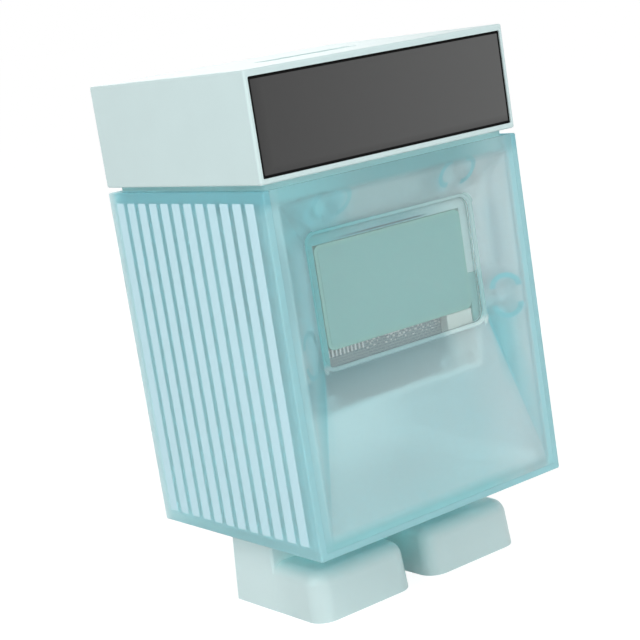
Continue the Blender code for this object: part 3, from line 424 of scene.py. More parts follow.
def creases(tree, axes):
    """1 on the side facets along their lower crease, fading away from it and towards the rim's corner."""
    rise = Vector((RIM_HALF - WINDOW_HALF - LIP_LAND, WINDOW_LOW - LIP_LAND - RIM_LOW))
    across = Vector((rise.y, rise.x)).normalized()
    sideways = calculate(tree, "ABSOLUTE", axes["X"])
    outward = calculate(tree, "MULTIPLY_ADD", sideways, across.x, -RIM_HALF * across.x)
    upward = calculate(tree, "MULTIPLY_ADD", axes["Z"], across.y, -RIM_LOW * across.y)
    beyond = calculate(tree, "ADD", outward, upward)
    starts = ramp(tree, beyond, 0.0, 1.0, -CREASE_EDGE, CREASE_EDGE)
    fades = ramp(tree, beyond, 1.0, 0.0, CREASE_CORE, CREASE_REACH)
    height = stepped(tree, axes, (("Z", 0.1, 1, rim_low, pane_low - 5),
                                  ("Z", 1, 0, pane_low, pane_low + 14)))
    return calculate(tree, "MULTIPLY", calculate(tree, "MULTIPLY", starts, fades), height)


def frosted(name, colour, transmission, roughness=FROSTED_ROUGHNESS, ior=1.25, masks=()):
    material, tree, shader, place = start_material(name)
    axes = object_axes(tree)
    milky = blend_colours(tree, cloud(tree, place, MILK_CLOUDS), *tones(colour, MILK_VARIATION))
    for mask, mask_colour, mask_transmission in masks:
        share = mask(tree, axes) if callable(mask) else stepped(tree, axes, mask)
        milky = blend_colours(tree, share, milky, mask_colour)
        if mask_transmission != transmission:
            transmission = ramp(tree, share, transmission, mask_transmission, 0.0, 1.0)
    patches = cloud(tree, place, FROST_PATCHES)
    frost = ramp(tree, patches, roughness - FROST_DRIFT, roughness + FROST_DRIFT)
    fill(tree, shader, {"Base Color": milky, "Roughness": frost, "Transmission Weight": transmission,
                        "IOR": ior})
    add_grain(material, FROST_GRAIN, FROST_BUMP)
    return material


print("window opening in mm:", round(2 * pane_half, 1), "by", round(pane_high - pane_low, 1))

# %% [markdown]
# ## Painted light and shade on the frosted plastic
# The plastic is a stronger aqua where it is thick, at the rim and in the creases, and there part of the
# deeper colour is also painted shade. Most other rows paint light and shade: paler before the lit white
# housing and where light falls, darker before the board and where shade falls. Each row below is a mask with
# the colour and the transmission that the plastic has there, and a later row covers an earlier one.

# %% Painted light and shade on the frosted plastic
PANEL_CLARITY = 0.70
JAR_CLARITY = 0.62
RIM_CLARITY = 0.40
NECK_CLARITY = 0.30
LIP_ROUGHNESS = 0.30
lip_low = (WINDOW_LOW - LIP_LAND) / mm
front, rear, foot, top = (value / mm for value in (PANEL_LOW.y, JAR_HIGH.y, JAR_LOW.z, JAR_HIGH.z))
BESIDE_PANE = (("Z", 0, 1, pane_low - 2, pane_low + 8), ("Z", 1, 0, pane_high - 6, pane_high + 1))
LIP_FOOT = (("Z", 1, 0, pane_low + 0.3, pane_low + 2),)
PANEL_MASKS = (
    # the upper left: painted shade, where the housing lies in the shade of the jar's wall
    ((("X", 1, 0, -27, -8), ("Z", 0, 1, 96, 116)), (0.61, 0.945, 0.98), PANEL_CLARITY),
    # the middle of the upper facet: painted shade, a darker tone there
    ((("X", 0, 1, -24, -16), ("X", 1, 0, 14, 26), ("Z", 0, 1, pane_high + 1, pane_high + 4)),
     (0.70, 0.85, 0.865), PANEL_CLARITY),
    # the right: painted light, where the white housing is lit through the jar's wall
    ((("X", 0, 1, 20, 40),), (0.86, 0.95, 0.96), PANEL_CLARITY),
    # the lower facet in front of the dark board: painted shade, as the board takes light away from the
    # plastic
    ((("X", 1, 0.75, -22, 14), ("X", 1, 0, 15, 22), ("Z", 0, 1, 73, 77), ("Z", 0.36, 1, 77, lip_low),
      ("Z", 1, 0, lip_low, pane_low)), (0.505, 0.74, 0.775), PANEL_CLARITY),
    # the side facets below the housing's shoulders: painted shade, where only the inside of the jar lies
    # behind
    ((("|X|", 0, 1, 37, 40), ("|X|", 1, 0, 43, 49), ("Z", 1, 0, 101.5, 104.5), ("Z", 0, 1, 60, 86)),
     (0.64, 0.90, 0.925), PANEL_CLARITY),
    # the side facets next to the window: painted light on the left, then painted shade on the right
    ((("X", 1, 0, -pane_half - 0.5, -pane_half), ("X", 0, 1, -pane_half - 12, -pane_half - 7), *BESIDE_PANE),
     (0.60, 0.94, 0.985), 0.55),
    ((("X", 0, 1, pane_half, pane_half + 0.5), ("X", 1, 0, pane_half + 7, pane_half + 12), *BESIDE_PANE),
     (0.76, 0.88, 0.90), PANEL_CLARITY),
    # the lower creases: a deeper aqua that fades away from them, partly the thicker plastic and partly
    # painted shade
    (creases, (0.46, 0.82, 0.86), PANEL_CLARITY),
    (hooks, (0.54, 0.87, 0.905), PANEL_CLARITY),
    # the flat rim: its sides, its foot, its top, and the middle of its left side's upper half; a deeper
    # aqua, partly the thicker plastic and partly painted shade
    ((("|X|", 0, 1, rim_half - 1.1, rim_half + 1.1),), (0.53, 0.84, 0.88), RIM_CLARITY),
    ((("Z", 1, 0, rim_low - 1.2, rim_low + 2.2), ("X", 1, 0.3, 20, 40)), (0.42, 0.79, 0.82), RIM_CLARITY),
    ((("Z", 0, 1, rim_high - 1.4, rim_high + 1.4), ("X", 0.55, 1, -48, -8), ("X", 1, 0.6, 26, 44)),
     (0.45, 0.66, 0.68), PANEL_CLARITY),
    ((("Z", 0.3, 1, 98, 116), ("Z", 1, 0, 128, 140), ("X", 1, 0, -rim_half - 1.1, -rim_half + 1.1)),
     (0.44, 0.72, 0.76), RIM_CLARITY))
JAR_MASKS = (
    # the foot of the walls, which the floor outside lights, and their front, lit by the panel: both painted
    # light
    ((("Z", 1, 0, foot, top - 20),), (0.545, 0.865, 0.90), JAR_CLARITY),
    ((("Y", 0.65, 0, -42, 15),), (0.62, 0.95, 0.985), JAR_CLARITY),
    # the mouth: painted shade, where the head's plug lies behind the walls
    ((("Z", 0, 1, top - 8, top - 4),), (0.38, 0.74, 0.80), JAR_CLARITY),
    # the back edge: painted light, where light from behind comes through
    ((("Y", 0, 1, rear - 5, rear - 1.5),), (0.70, 0.90, 0.92), JAR_CLARITY),
    # the front ends of the walls, beside the panel and below its top rim: a deeper aqua, partly the thicker
    # plastic seen edge on and partly painted shade
    ((("Y", 1, 0, front + 0.4, front + 2.4), ("Z", 1, 0, rim_high - 3, rim_high + 2)),
     (0.455, 0.775, 0.82), RIM_CLARITY))
# The lip is opaque: the rows below paint on it the shade and light of what lies behind it.
LIP_MASKS = (
    # left of the display, then the right side below the middle: painted shade, where no white housing lies
    # behind
    ((("X", 1, 0, -30, 25),), (0.20, 0.49, 0.52), 0.0),
    ((("X", 0, 1, 26, 33), ("Z", 1, 0, 104, 108)), (0.322, 0.530, 0.541), 0.0),
    # below the window, before the board, painted shade, and at the lower right, before the white rest,
    # painted light
    (LIP_FOOT, (0.32, 0.49, 0.51), 0.0),
    ((*LIP_FOOT, ("X", 0, 1, 15, 20)), (0.54, 0.70, 0.70), 0.0))
JAR_FROSTED = frosted("jar_frosted", (0.43, 0.77, 0.82), JAR_CLARITY, masks=JAR_MASKS)
PANEL_FROSTED = frosted("panel_frosted", (0.77, 0.94, 0.955), PANEL_CLARITY, ior=1.2, masks=PANEL_MASKS)
LIP_POLISHED = frosted("lip_polished", (0.41, 0.58, 0.585), 0.0, LIP_ROUGHNESS, ior=1.2, masks=LIP_MASKS)
SOCKET_FROSTED = frosted("socket_frosted", (0.20, 0.54, 0.59), 0.0)
# The head's plug in the neck gap: a pale colour and a faint glow, painted light that stands in for light
# coming through the frosted plastic into the shaded gap.
NECK_PAINTED_GLOW = frosted("neck_painted_glow", (0.68, 0.94, 0.95), NECK_CLARITY)
neck_painted_light = {"Emission Color": (0.25, 1.0, 1.0, 1.0), "Emission Strength": 0.03}
fill(NECK_PAINTED_GLOW.node_tree, NECK_PAINTED_GLOW.node_tree.nodes["Principled BSDF"], neck_painted_light)
print("frosted plastics:", JAR_FROSTED.name, PANEL_FROSTED.name, LIP_POLISHED.name)

# %% [markdown]
# ## Display, glass and metal finishes
# The display is a grey-green reflective liquid crystal panel, left blank. Its colour is slightly lighter
# at the edge, where the polariser film ends. The visor is a smoked sheet, polished, with a printed black
# border. The metals are plated steel with fine drawn lines.

# %% Display, glass and metal finishes
LCD_LOW, LCD_HIGH = corners("lcd_panel")
VISOR_LOW, VISOR_HIGH = corners("visor_window")
VISOR_EDGE_SHADE = 0.55
DRAWN_LINES = 4200.0
DRAWN_STRETCH = (1.0, 1.0, 0.08)


def display_bezel(name):
    """The display's frame, with painted shade and light: deep aqua at the left, pale at the right, and dark
    where it dips to the display.
    """
    lcd_top = LCD_HIGH.z / mm
    material, tree, shader, place = start_material(name)
    axes = object_axes(tree)
    to_middle = stepped(tree, axes, [("X", 0, 1, -34, -12)])
    painted_light_right = stepped(tree, axes, [("X", 0, 1, 6, 31)])
    # Painted shade: a dark line on the frame just above the display.
    painted_gap_shade = stepped(tree, axes, (("Z", 0, 1, lcd_top + 0.7, lcd_top + 0.9),
                               ("Z", 1, 0, lcd_top + 1.2, lcd_top + 1.5),
                               ("X", 0, 1, -26, -8), ("X", 1, 0, 13, 19)))
    colour = blend_colours(tree, to_middle, (0.05, 0.45, 0.475), (0.18, 0.43, 0.46))
    colour = blend_colours(tree, painted_light_right, colour, (0.54, 0.68, 0.68))
    fill(tree, shader, {"Base Color": blend_colours(tree, painted_gap_shade, colour, (0.0, 0.06, 0.08)),
                        "Roughness": ramp(tree, cloud(tree, place, 900.0), 0.32, 0.42)})
    return material


def smoked_visor(name):
    """Smoked sheet with painted light and shade: lighter towards the right, and a little darker towards its
    left and lower edges.
    """
    low, high = VISOR_LOW / mm, VISOR_HIGH / mm
    material, tree, shader, place = start_material(name)
    axes = object_axes(tree)
    # Painted light: the smoke gets lighter from left to right. Painted shade darkens the left and lower
    # edges.
    across = stepped(tree, axes, [("X", 0, 1, low.x, high.x)])
    left = stepped(tree, axes, [("X", 1, 0, low.x, low.x + 5)])
    lower = stepped(tree, axes, [("Z", 1, 0, low.z, low.z + 3)])
    shade = calculate(tree, "MULTIPLY", calculate(tree, "MAXIMUM", left, lower), VISOR_EDGE_SHADE)
    smoke = blend_colours(tree, across, (0.034, 0.034, 0.034), (0.078, 0.080, 0.079))
    fill(tree, shader, {"Base Color": blend_colours(tree, shade, smoke, (0.012, 0.012, 0.012)),
                        "Roughness": ramp(tree, cloud(tree, place, 120.0), 0.10, 0.16)})
    return material


def plated_steel(name):
    material, tree, shader, place = start_material(name)
    drawn = add_node(tree, "ShaderNodeMapping", {"Vector": place, "Scale": DRAWN_STRETCH}).outputs[0]
    lines = cloud(tree, drawn, DRAWN_LINES, 2.0)
    fill(tree, shader, {"Base Color": blend_colours(tree, lines, (0.50, 0.50, 0.51), (0.72, 0.72, 0.73)),
                        "Roughness": ramp(tree, lines, 0.24, 0.38), "Metallic": 1.0})
    return material


CLEAR = clouded("clear_window", ((0.86, 0.95, 0.955), (0.88, 0.96, 0.965)), 30.0, 200.0, (0.03, 0.06),
                {"Transmission Weight": 0.90, "IOR": 1.25})
LIQUID_CRYSTAL = clouded("lcd_glass", tones((0.225, 0.48, 0.425), 0.02), 18.0, 1500.0, (0.30, 0.40))
POLARISER = clouded("lcd_polariser", tones((0.202, 0.455, 0.430), 0.02), 18.0, 1500.0, (0.30, 0.40))
DISPLAY_BEZEL = display_bezel("display_bezel")
VISOR = smoked_visor("visor_black")
VISOR_BORDER = moulded("visor_border", (0.004, 0.004, 0.004), 0.5, variation=0.2)
VISOR_BORDER.node_tree.nodes["Principled BSDF"].inputs["Specular IOR Level"].default_value = 0.05
STEEL = plated_steel("steel")
print("finishes:", CLEAR.name, LIQUID_CRYSTAL.name, VISOR.name, STEEL.name)

# %% [markdown]
# ## Piece helpers
# A finished piece is a plain mesh at the origin that rides on one of the CAD model's bodies and stands for
# the CAD nodes it replaces. Boolean modifiers cut and join solids, and the evaluated result becomes
# the mesh. Normals are weighted by face area, so that flat faces stay flat next to small rounded edges.

# %% Piece helpers


def settle(piece):
    """Turn the evaluated piece into its own plain mesh, without modifiers."""
    evaluated = piece.evaluated_get(bpy.context.evaluated_depsgraph_get())
    mesh = bpy.data.meshes.new_from_object(evaluated)
    piece.modifiers.clear()
    piece.data = mesh


def combine(piece, tool_mesh, operation):
    tool = add_object("tool", tool_mesh)
    tool.hide_render = True
    modifier = piece.modifiers.new("combine", "BOOLEAN")
    modifier.operation = operation
    modifier.solver = "EXACT"
    modifier.object = tool
    settle(piece)
    bpy.data.objects.remove(tool, do_unlink=True)


def cut(piece, tool_mesh):
    combine(piece, tool_mesh, "DIFFERENCE")


def join(piece, tool_mesh):
    combine(piece, tool_mesh, "UNION")


def smooth(piece, angle):
    piece.data.shade_smooth()
    piece.data.set_sharp_from_angle(angle=radians(angle))
    weighted = piece.modifiers.new("weighted", "WEIGHTED_NORMAL")
    weighted.keep_sharp = True
    settle(piece)


def finish_piece(piece, body, nodes=(), materials=(), angle=32.0):
    """Smooth the piece up to an angle, unless that is 0, and let it ride on its body."""
    if angle:
        smooth(piece, angle)
    if materials:
        piece.data.materials.clear()
        for material in materials:
            piece.data.materials.append(material)
    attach(piece, body)
    if nodes:
        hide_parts(*nodes)
    print(piece.name, "rides on", body, "faces", len(piece.data.polygons))
    return piece


# %% [markdown]
# ## Rounded boxes and lofts
# Two shapes make nearly everything outside: a box with rounded edges, and a loft through rounded rectangles
# that lie one behind the other. The loft is a ring of points for each section, bridged with quads.

# %% Rounded boxes and lofts
NEARLY_PARALLEL = 0.99


def round_edges(shape, edges, radius, segments, clamp=False):
    bmesh.ops.bevel(shape, geom=edges, offset=radius, offset_type="OFFSET", segments=segments,
                    profile=0.5, affect="EDGES", clamp_overlap=clamp)


def rounded_box(low, high, radius=0.0, segments=5, along="XYZ"):
    low, high = Vector(low), Vector(high)
    shape = bmesh.new()
    bmesh.ops.create_cube(shape, size=1.0)
    bmesh.ops.scale(shape, vec=high - low, verts=shape.verts)
    bmesh.ops.translate(shape, vec=(low + high) / 2, verts=shape.verts)
    if radius:
        chosen = []
        for edge in shape.edges:
            direction = (edge.verts[1].co - edge.verts[0].co).normalized()
            if any(abs(direction["XYZ".index(axis)]) > NEARLY_PARALLEL for axis in along):
                chosen.append(edge)
        round_edges(shape, chosen, radius, segments, clamp=True)
    return as_mesh(shape)


def upright_rod(x, y, low, high, radius, segments=32):
    shape = bmesh.new()
    bmesh.ops.create_cone(shape, cap_ends=True, segments=segments, radius1=radius, radius2=radius,
                          depth=high - low, matrix=Matrix.Translation((x, y, (low + high) / 2)))
    return as_mesh(shape)


def left_and_right(inner, outer):
    """The range in x of a shape on the left and of the same shape on the right."""
    return [sorted((side * inner, side * outer)) for side in (-1, 1)]


def rectangle_ring(half, low, high, corner, y, per_corner=7):
    """Points of an upright rounded rectangle at depth y, anticlockwise from its right side."""
    middles = ((half - corner, high - corner), (corner - half, high - corner),
               (corner - half, low + corner), (half - corner, low + corner))
    points = []
    for quarter, (x, z) in enumerate(middles):
        for step in range(per_corner + 1):
            angle = (quarter + step / per_corner) * pi / 2
            points.append((x + corner * cos(angle), y, z + corner * sin(angle)))
    return points


def plate_ring(low, high, inset, corner, y):
    """A section of a plate, some way inside its edge."""
    return rectangle_ring(high.x - inset, low.z + inset, high.z - inset, corner, y)


def plate_rings(node, corner, edge, spread):
    """Sections of a plate that fills a CAD node's box, with small rounded edges front and back."""
    low, high = corners(node)
    low -= Vector((spread, 0, spread))
    high += Vector((spread, 0, spread))
    steps = ((0.0, edge), (edge * 0.3, edge * 0.3), (edge, 0.0))
    sections = [(low.y + depth, inset) for depth, inset in steps]
    sections += [(high.y - depth, inset) for depth, inset in reversed(steps)]
    return [plate_ring(low, high, inset, corner - inset, y) for y, inset in sections]


def loft(rings, loop=False):
    """Bridge rings of equal length, and close the ends with faces or join the last ring to the first."""
    shape = bmesh.new()
    rows = [[shape.verts.new(point) for point in ring] for ring in rings]
    pairs = list(zip(rows[:-1], rows[1:]))
    if loop:
        pairs.append((rows[-1], rows[0]))
    count = len(rows[0])
    for first, second in pairs:
        for index in range(count):
            following = (index + 1) % count
            shape.faces.new((first[index], first[following], second[following], second[index]))
    if not loop:
        shape.faces.new(rows[0])
        shape.faces.new(rows[-1])
    bmesh.ops.recalc_face_normals(shape, faces=shape.faces)
    return as_mesh(shape)


# %% [markdown]
# ## Head
# The head is a moulded box, open below and in front, where the visor drops in. A coin slot lies in a shallow
# dish in its roof, and four posts inside take the screws of the base. It is cut from a rounded box.

# %% Head case
HEAD_LOW, HEAD_HIGH = corners("head_shell")
BASE_LOW, BASE_HIGH = corners("head_base")
HEAD_WALL = 1.4 * mm
HEAD_EDGE = 0.8 * mm
HEAD_INNER_EDGE = 0.8 * mm
HEAD_INNER = HEAD_HIGH.x - HEAD_WALL
HEAD_INNER_FRONT = HEAD_LOW.y + HEAD_WALL
ROOF_FOOT = HEAD_HIGH.z - 2.2 * mm
RIB_REACH = 2 * mm
RIB_FOOT = BASE_HIGH.z + 1.5 * mm
RIB_BACK = VISOR_HIGH.y + 2.1 * mm
POST_RADIUS = 3.2 * mm
POST_BORE = 1.55 * mm
POST_BORE_DEEP = 11 * mm
VISOR_MOUTH_DEEP = 2 * mm
VISOR_MOUTH_CORNER = 0.5 * mm
HEAD_POSTS = [(side * (HEAD_HIGH.x - 10 * mm), end * (HEAD_HIGH.y - 11 * mm))
              for end in (-1, 1) for side in (-1, 1)]
COIN_Y = -8.0 * mm
# Half length, half width, lowest point, corner radius and corner segments.
COIN_DISH = (20.0 * mm, 5.4 * mm, HEAD_HIGH.z - 0.7 * mm, 3.0 * mm, 8)
COIN_SLOT = (16.0 * mm, 2.4 * mm, ROOF_FOOT - 2 * mm, 1.2 * mm, 5)
# How far a joined shape reaches into the other, and how far the tools for a cavity, an opening, a hole and
# a bore reach out.
MERGE = 0.5 * mm
CAVITY_BEYOND = 5 * mm
OPENING_BEYOND = 3 * mm
HOLE_BEYOND = 2 * mm
BORE_BEYOND = 1 * mm


def make_head_case():
    head = add_object("head_case", rounded_box(HEAD_LOW, HEAD_HIGH, HEAD_EDGE, 6))
    cut(head, rounded_box((-HEAD_INNER, HEAD_INNER_FRONT, HEAD_LOW.z - CAVITY_BEYOND),
                          (HEAD_INNER, HEAD_HIGH.y - HEAD_WALL, ROOF_FOOT), HEAD_INNER_EDGE, 3))
    cut(head, rounded_box((-HEAD_INNER, HEAD_LOW.y - OPENING_BEYOND, BASE_HIGH.z),
                          (HEAD_INNER, HEAD_INNER_FRONT + VISOR_MOUTH_DEEP, ROOF_FOOT),
                          VISOR_MOUTH_CORNER, 3, "Y"))
    for left, right in left_and_right(HEAD_INNER - RIB_REACH, HEAD_INNER + MERGE):
        join(head, rounded_box((left, VISOR_HIGH.y + GAP, RIB_FOOT), (right, RIB_BACK, ROOF_FOOT + MERGE)))
    bore_foot, bore_top = BASE_HIGH.z - BORE_BEYOND, BASE_HIGH.z + POST_BORE_DEEP
    for x, y in HEAD_POSTS:
        join(head, upright_rod(x, y, BASE_HIGH.z + GAP, ROOF_FOOT + MERGE, POST_RADIUS))
        cut(head, upright_rod(x, y, bore_foot, bore_top, POST_BORE, 20))
    for half, half_width, low, corner, segments in (COIN_DISH, COIN_SLOT):
        high = HEAD_HIGH.z + OPENING_BEYOND
        cut(head, rounded_box((-half, COIN_Y - half_width, low), (half, COIN_Y + half_width, high),
                              corner, segments, "Z"))
    finish_piece(head, "head", ["head_shell"], [MINT])


make_head_case()

# %% [markdown]
# ## Visor
# A smoked plastic sheet fills the head's open front. It sits a little behind the rim, and a thin black
# border is printed round it. The border is a ring of faces of its own, so that it can have a matt finish.

# %% Visor
BORDER_WIDTH = 0.65 * mm
BORDER_CORNER = 0.3 * mm
visor_rings = [plate_ring(VISOR_LOW, VISOR_HIGH, BORDER_WIDTH, BORDER_CORNER, VISOR_LOW.y),
               *plate_rings("visor_window", corner=0.6 * mm, edge=0.2 * mm, spread=0.2 * mm)]
visor = add_object("visor_lens", loft(visor_rings))
finish_piece(visor, "head", ["visor_window"], [VISOR, VISOR_BORDER])
for face in visor.data.polygons:
    face.material_index = int(len(face.vertices) == 4)

# %% [markdown]
# ## Smooth copies of plain CAD nodes
# Inner pieces already have the right shape. A copy of such a node is welded, its coplanar triangles are
# joined into whole faces, most get a small bevel on their edges, and then the copy stands for the node.

# %% Smooth copies
WELD_REACH = 0.002 * mm
COPLANAR_WITHIN = radians(0.6)
BEVEL_FROM = radians(50)
PLAIN_EDGE = 0.18 * mm
FINE_EDGE = 0.1 * mm
JUST_BELOW = 0.02 * mm


def dressed_copy(node, body, material, edge=PLAIN_EDGE):
    shape = bmesh.new()
    shape.from_mesh(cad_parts[node].data)
    bmesh.ops.remove_doubles(shape, verts=shape.verts, dist=WELD_REACH)
    bmesh.ops.dissolve_limit(shape, angle_limit=COPLANAR_WITHIN, verts=shape.verts, edges=shape.edges)
    piece = add_object(node + "_dressed", as_mesh(shape))
    if edge:
        bevel = piece.modifiers.new("edge", "BEVEL")
        bevel.width = edge
        bevel.segments = 2
        bevel.limit_method = "ANGLE"
        bevel.angle_limit = BEVEL_FROM
        bevel.use_clamp_overlap = True
        settle(piece)
    return finish_piece(piece, body, [node], [material])


head_base = dressed_copy("head_base", "head", MINT)
head_base.data.materials.append(NECK_PAINTED_GLOW)
for face in head_base.data.polygons:
    face.material_index = int(face.center.z < HEAD_LOW.z - JUST_BELOW)
dressed_copy("coin_chute", "head", PALE_HOUSING)
dressed_copy("electronics_housing", "jar", HOUSING_PAINTED_SHADE, 0.0)
dressed_copy("coin_channel_cover", "jar", PALE_HOUSING, 0.0)
dressed_copy("battery_cover", "jar", PALE_HOUSING)
dressed_copy("coin_lever", "lever", LEVER_GREY)
dressed_copy("lever_pin", "jar", STEEL, FINE_EDGE)
dressed_copy("lever_sensor", "jar", CHIP_BLACK)
dressed_copy("reset_switch", "jar", CHIP_BLACK)
dressed_copy("lcd_connector", "jar", CONTACT_RUBBER, FINE_EDGE)
for contact in ("battery_bridge", "battery_contact_1", "battery_contact_2"):
    dressed_copy(contact, "jar", STEEL, FINE_EDGE)

# %% [markdown]
# ## Jar walls
# The jar is one frosted moulding, open at the top for the head's plug and in front for the panel. Four
# ledges inside carry the plug, and four holes in the floor take the screws of the feet.

# %% Jar walls
WALL = 2.5 * mm
SHELL_EDGE = 0.7 * mm
SHELL_INNER_EDGE = 0.6 * mm
LEDGE_TOP = BASE_LOW.z - GAP
LEDGE_THICK = 3 * mm
LEDGE_REACH = 4.2 * mm
INNER_REAR = JAR_HIGH.y - WALL
LEDGE_RANGES = ((INNER_REAR - 5 * mm, INNER_REAR + MERGE), (-22.5 * mm, -16.5 * mm))
FOOT_SCREWS = [Vector((side * 25.4 * mm, y, 0)) for side in (-1, 1) for y in (3.0 * mm, 14.5 * mm)]
FOOT_SCREW_HOLE = 1.8 * mm


def make_jar_walls():
    jar = add_object("jar_walls", rounded_box(JAR_LOW, JAR_HIGH, SHELL_EDGE, 6))
    inner = JAR_HIGH.x - WALL
    floor_top = JAR_LOW.z + WALL
    cut(jar, rounded_box((-inner, JAR_LOW.y - CAVITY_BEYOND, floor_top),
                         (inner, INNER_REAR, JAR_HIGH.z + CAVITY_BEYOND), SHELL_INNER_EDGE, 3))
    for left, right in left_and_right(inner - LEDGE_REACH, inner + MERGE):
        for start, end in LEDGE_RANGES:
            join(jar, rounded_box((left, start, LEDGE_TOP - LEDGE_THICK), (right, end, LEDGE_TOP)))
    hole_foot, hole_top = JAR_LOW.z - HOLE_BEYOND, floor_top + HOLE_BEYOND
    for screw in FOOT_SCREWS:
        cut(jar, upright_rod(screw.x, screw.y, hole_foot, hole_top, FOOT_SCREW_HOLE, 24))
    finish_piece(jar, "jar", ["jar_shell"], [JAR_FROSTED])


make_jar_walls()

# %% [markdown]
# ## Front panel
# The front is a hollow pyramid: a flat rim, four facets that slope back, and a small stepped lip round the
# display. A loft through rounded rectangles gives the facets and the creases where they meet, because the
# corners stay tight at the rim and open out at the lip. The sections run in over the front, then out again
# over the back, and the last joins the first.

# %% Front panel
PANEL_THICK = 2.2 * mm
PANEL_SPREAD = 0.27 * mm
FACET_DEPTH = 7.3 * mm
FRONT = PANEL_LOW.y
PANEL_BACK = FRONT + PANEL_THICK
LIP_Y = FRONT + FACET_DEPTH
LIP_BACK = LIP_Y + PANEL_THICK
RIM_CORNER = 0.7 * mm
WINDOW_CORNER = 4.0 * mm
LIP_CORNER = WINDOW_CORNER + 0.9 * mm
SKIRT_FRONT = FRONT + PANEL_THICK / 2
SKIRT_BACK = FRONT + 8 * mm
SKIRT_THICK = 2 * mm
SKIRT_INSET = 0.2 * mm
SKIRT_END = 1 * mm
# Inset, depth behind the front and corner radius of the sections at the rim's edge.
RIM_EDGE = ((0.0, 0.08 * mm, RIM_CORNER), (0.06 * mm, 0.0, 0.65 * mm))
# Share of the way to the lip, and depth behind the front, of the sections where the facets start.
FACET_START = ((-0.05, 0.0), (0.0, 0.1 * mm))
FACET_SHARES = (0.06, 0.35, 0.7, 0.97)
FACET_BACK_SHARES = (0.97, 0.5, 0.03)
BACK_INSET = 0.4 * mm
BACK_CORNER = 0.5 * mm
# A polished face lies at least this far inside the land's edge, and at most this far before the lip's front.
LAND_MARGIN = 0.05 * mm
LIP_FRONT_MARGIN = 0.2 * mm
# How far each section of the lip lies outside the window, and how far behind the lip's front.
LIP_STEPS = ((LIP_LAND, 0.0), (1.15 * mm, 0.25 * mm), (0.9 * mm, 0.35 * mm), (0.45 * mm, 0.37 * mm),
             (0.12 * mm, 0.5 * mm), (0.0, 0.8 * mm), (0.0, PANEL_THICK))


def inset_ring(inset, y, corner):
    """A section parallel to the panel's outer edge, which nearly closes the seam to the jar."""
    inset -= PANEL_SPREAD
    top = PANEL_HIGH.z - max(0.0, inset)
    return rectangle_ring(PANEL_HIGH.x - inset, PANEL_LOW.z + inset, top, corner, y)


def facet_ring(share, y):
    """A section across the facets, from share 0 at the rim to 1 at the lip."""
    rim = (RIM_HALF, RIM_LOW, RIM_HIGH, RIM_CORNER)
    lip = (WINDOW_HALF + LIP_LAND, WINDOW_LOW - LIP_LAND, WINDOW_HIGH + LIP_LAND, LIP_CORNER)
    half, low, high, corner = (start + (end - start) * share for start, end in zip(rim, lip))
    return rectangle_ring(half, low, high, corner, y)


def lip_ring(land, y):
    """A section round the window, some land outside its opening."""
    return rectangle_ring(WINDOW_HALF + land, WINDOW_LOW - land, WINDOW_HIGH + land, WINDOW_CORNER + land, y)


def make_front_panel():
    sections = [inset_ring(inset, FRONT + behind, corner) for inset, behind, corner in RIM_EDGE]
    sections += [facet_ring(share, FRONT + behind) for share, behind in FACET_START]
    sections += [facet_ring(share, FRONT + FACET_DEPTH * share) for share in FACET_SHARES]
    sections += [lip_ring(land, LIP_Y + behind) for land, behind in LIP_STEPS]
    sections += [facet_ring(share, PANEL_BACK + FACET_DEPTH * share) for share in FACET_BACK_SHARES]
    sections += [inset_ring(BACK_INSET, PANEL_BACK, BACK_CORNER)]
    panel = add_object("front_facets", loft(sections, loop=True))
    outer, panel_foot = PANEL_HIGH.x, PANEL_LOW.z
    for left, right in left_and_right(outer - SKIRT_THICK, outer - SKIRT_INSET):
        join(panel, rounded_box((left, SKIRT_FRONT, panel_foot + SKIRT_END),
                                (right, SKIRT_BACK, BASE_LOW.z - SKIRT_END)))
    join(panel, rounded_box((SKIRT_END - outer, SKIRT_FRONT, panel_foot + SKIRT_INSET),
                            (outer - SKIRT_END, SKIRT_BACK, panel_foot + SKIRT_THICK)))
    finish_piece(panel, "jar", ["front_panel"], [PANEL_FROSTED, LIP_POLISHED], 25.0)
    for face in panel.data.polygons:
        x, y, z = face.center
        beside = max(abs(x) - WINDOW_HALF, WINDOW_LOW - z, z - WINDOW_HIGH)
        face.material_index = int(beside < LIP_LAND - LAND_MARGIN and y > LIP_Y - LIP_FRONT_MARGIN)


make_front_panel()
dressed_copy("display_frame", "jar", DISPLAY_BEZEL)

# %% [markdown]
# ## Geometry Nodes helpers
# Whatever repeats is made by a node tree: stripes, sockets, pins, small parts and screws. Each tree has
# named inputs for its sizes and ends in Realize Instances and Set Material. The evaluated result is kept as
# a mesh.

# %% Geometry Nodes helpers
INPUT_KINDS = {int: "Int", float: "Float", tuple: "Vector", bpy.types.Object: "Object"}


def geometry(tree, kind, inputs, **settings):
    """The first output of a new geometry node."""
    return add_node(tree, "GeometryNode" + kind, inputs, **settings).outputs[0]


def repeat(tree, points, instance, **more):
    return geometry(tree, "InstanceOnPoints", {"Points": points, "Instance": instance, **more})


def row_of_blocks(tree, size):
    """A line of equal blocks."""
    block = geometry(tree, "MeshCube", {"Size": size["Block"]})
    line = geometry(tree, "MeshLine", {"Count": size["Count"], "Start Location": size["First"],
                                       "Offset": size["Step"]})
    return repeat(tree, line, block)


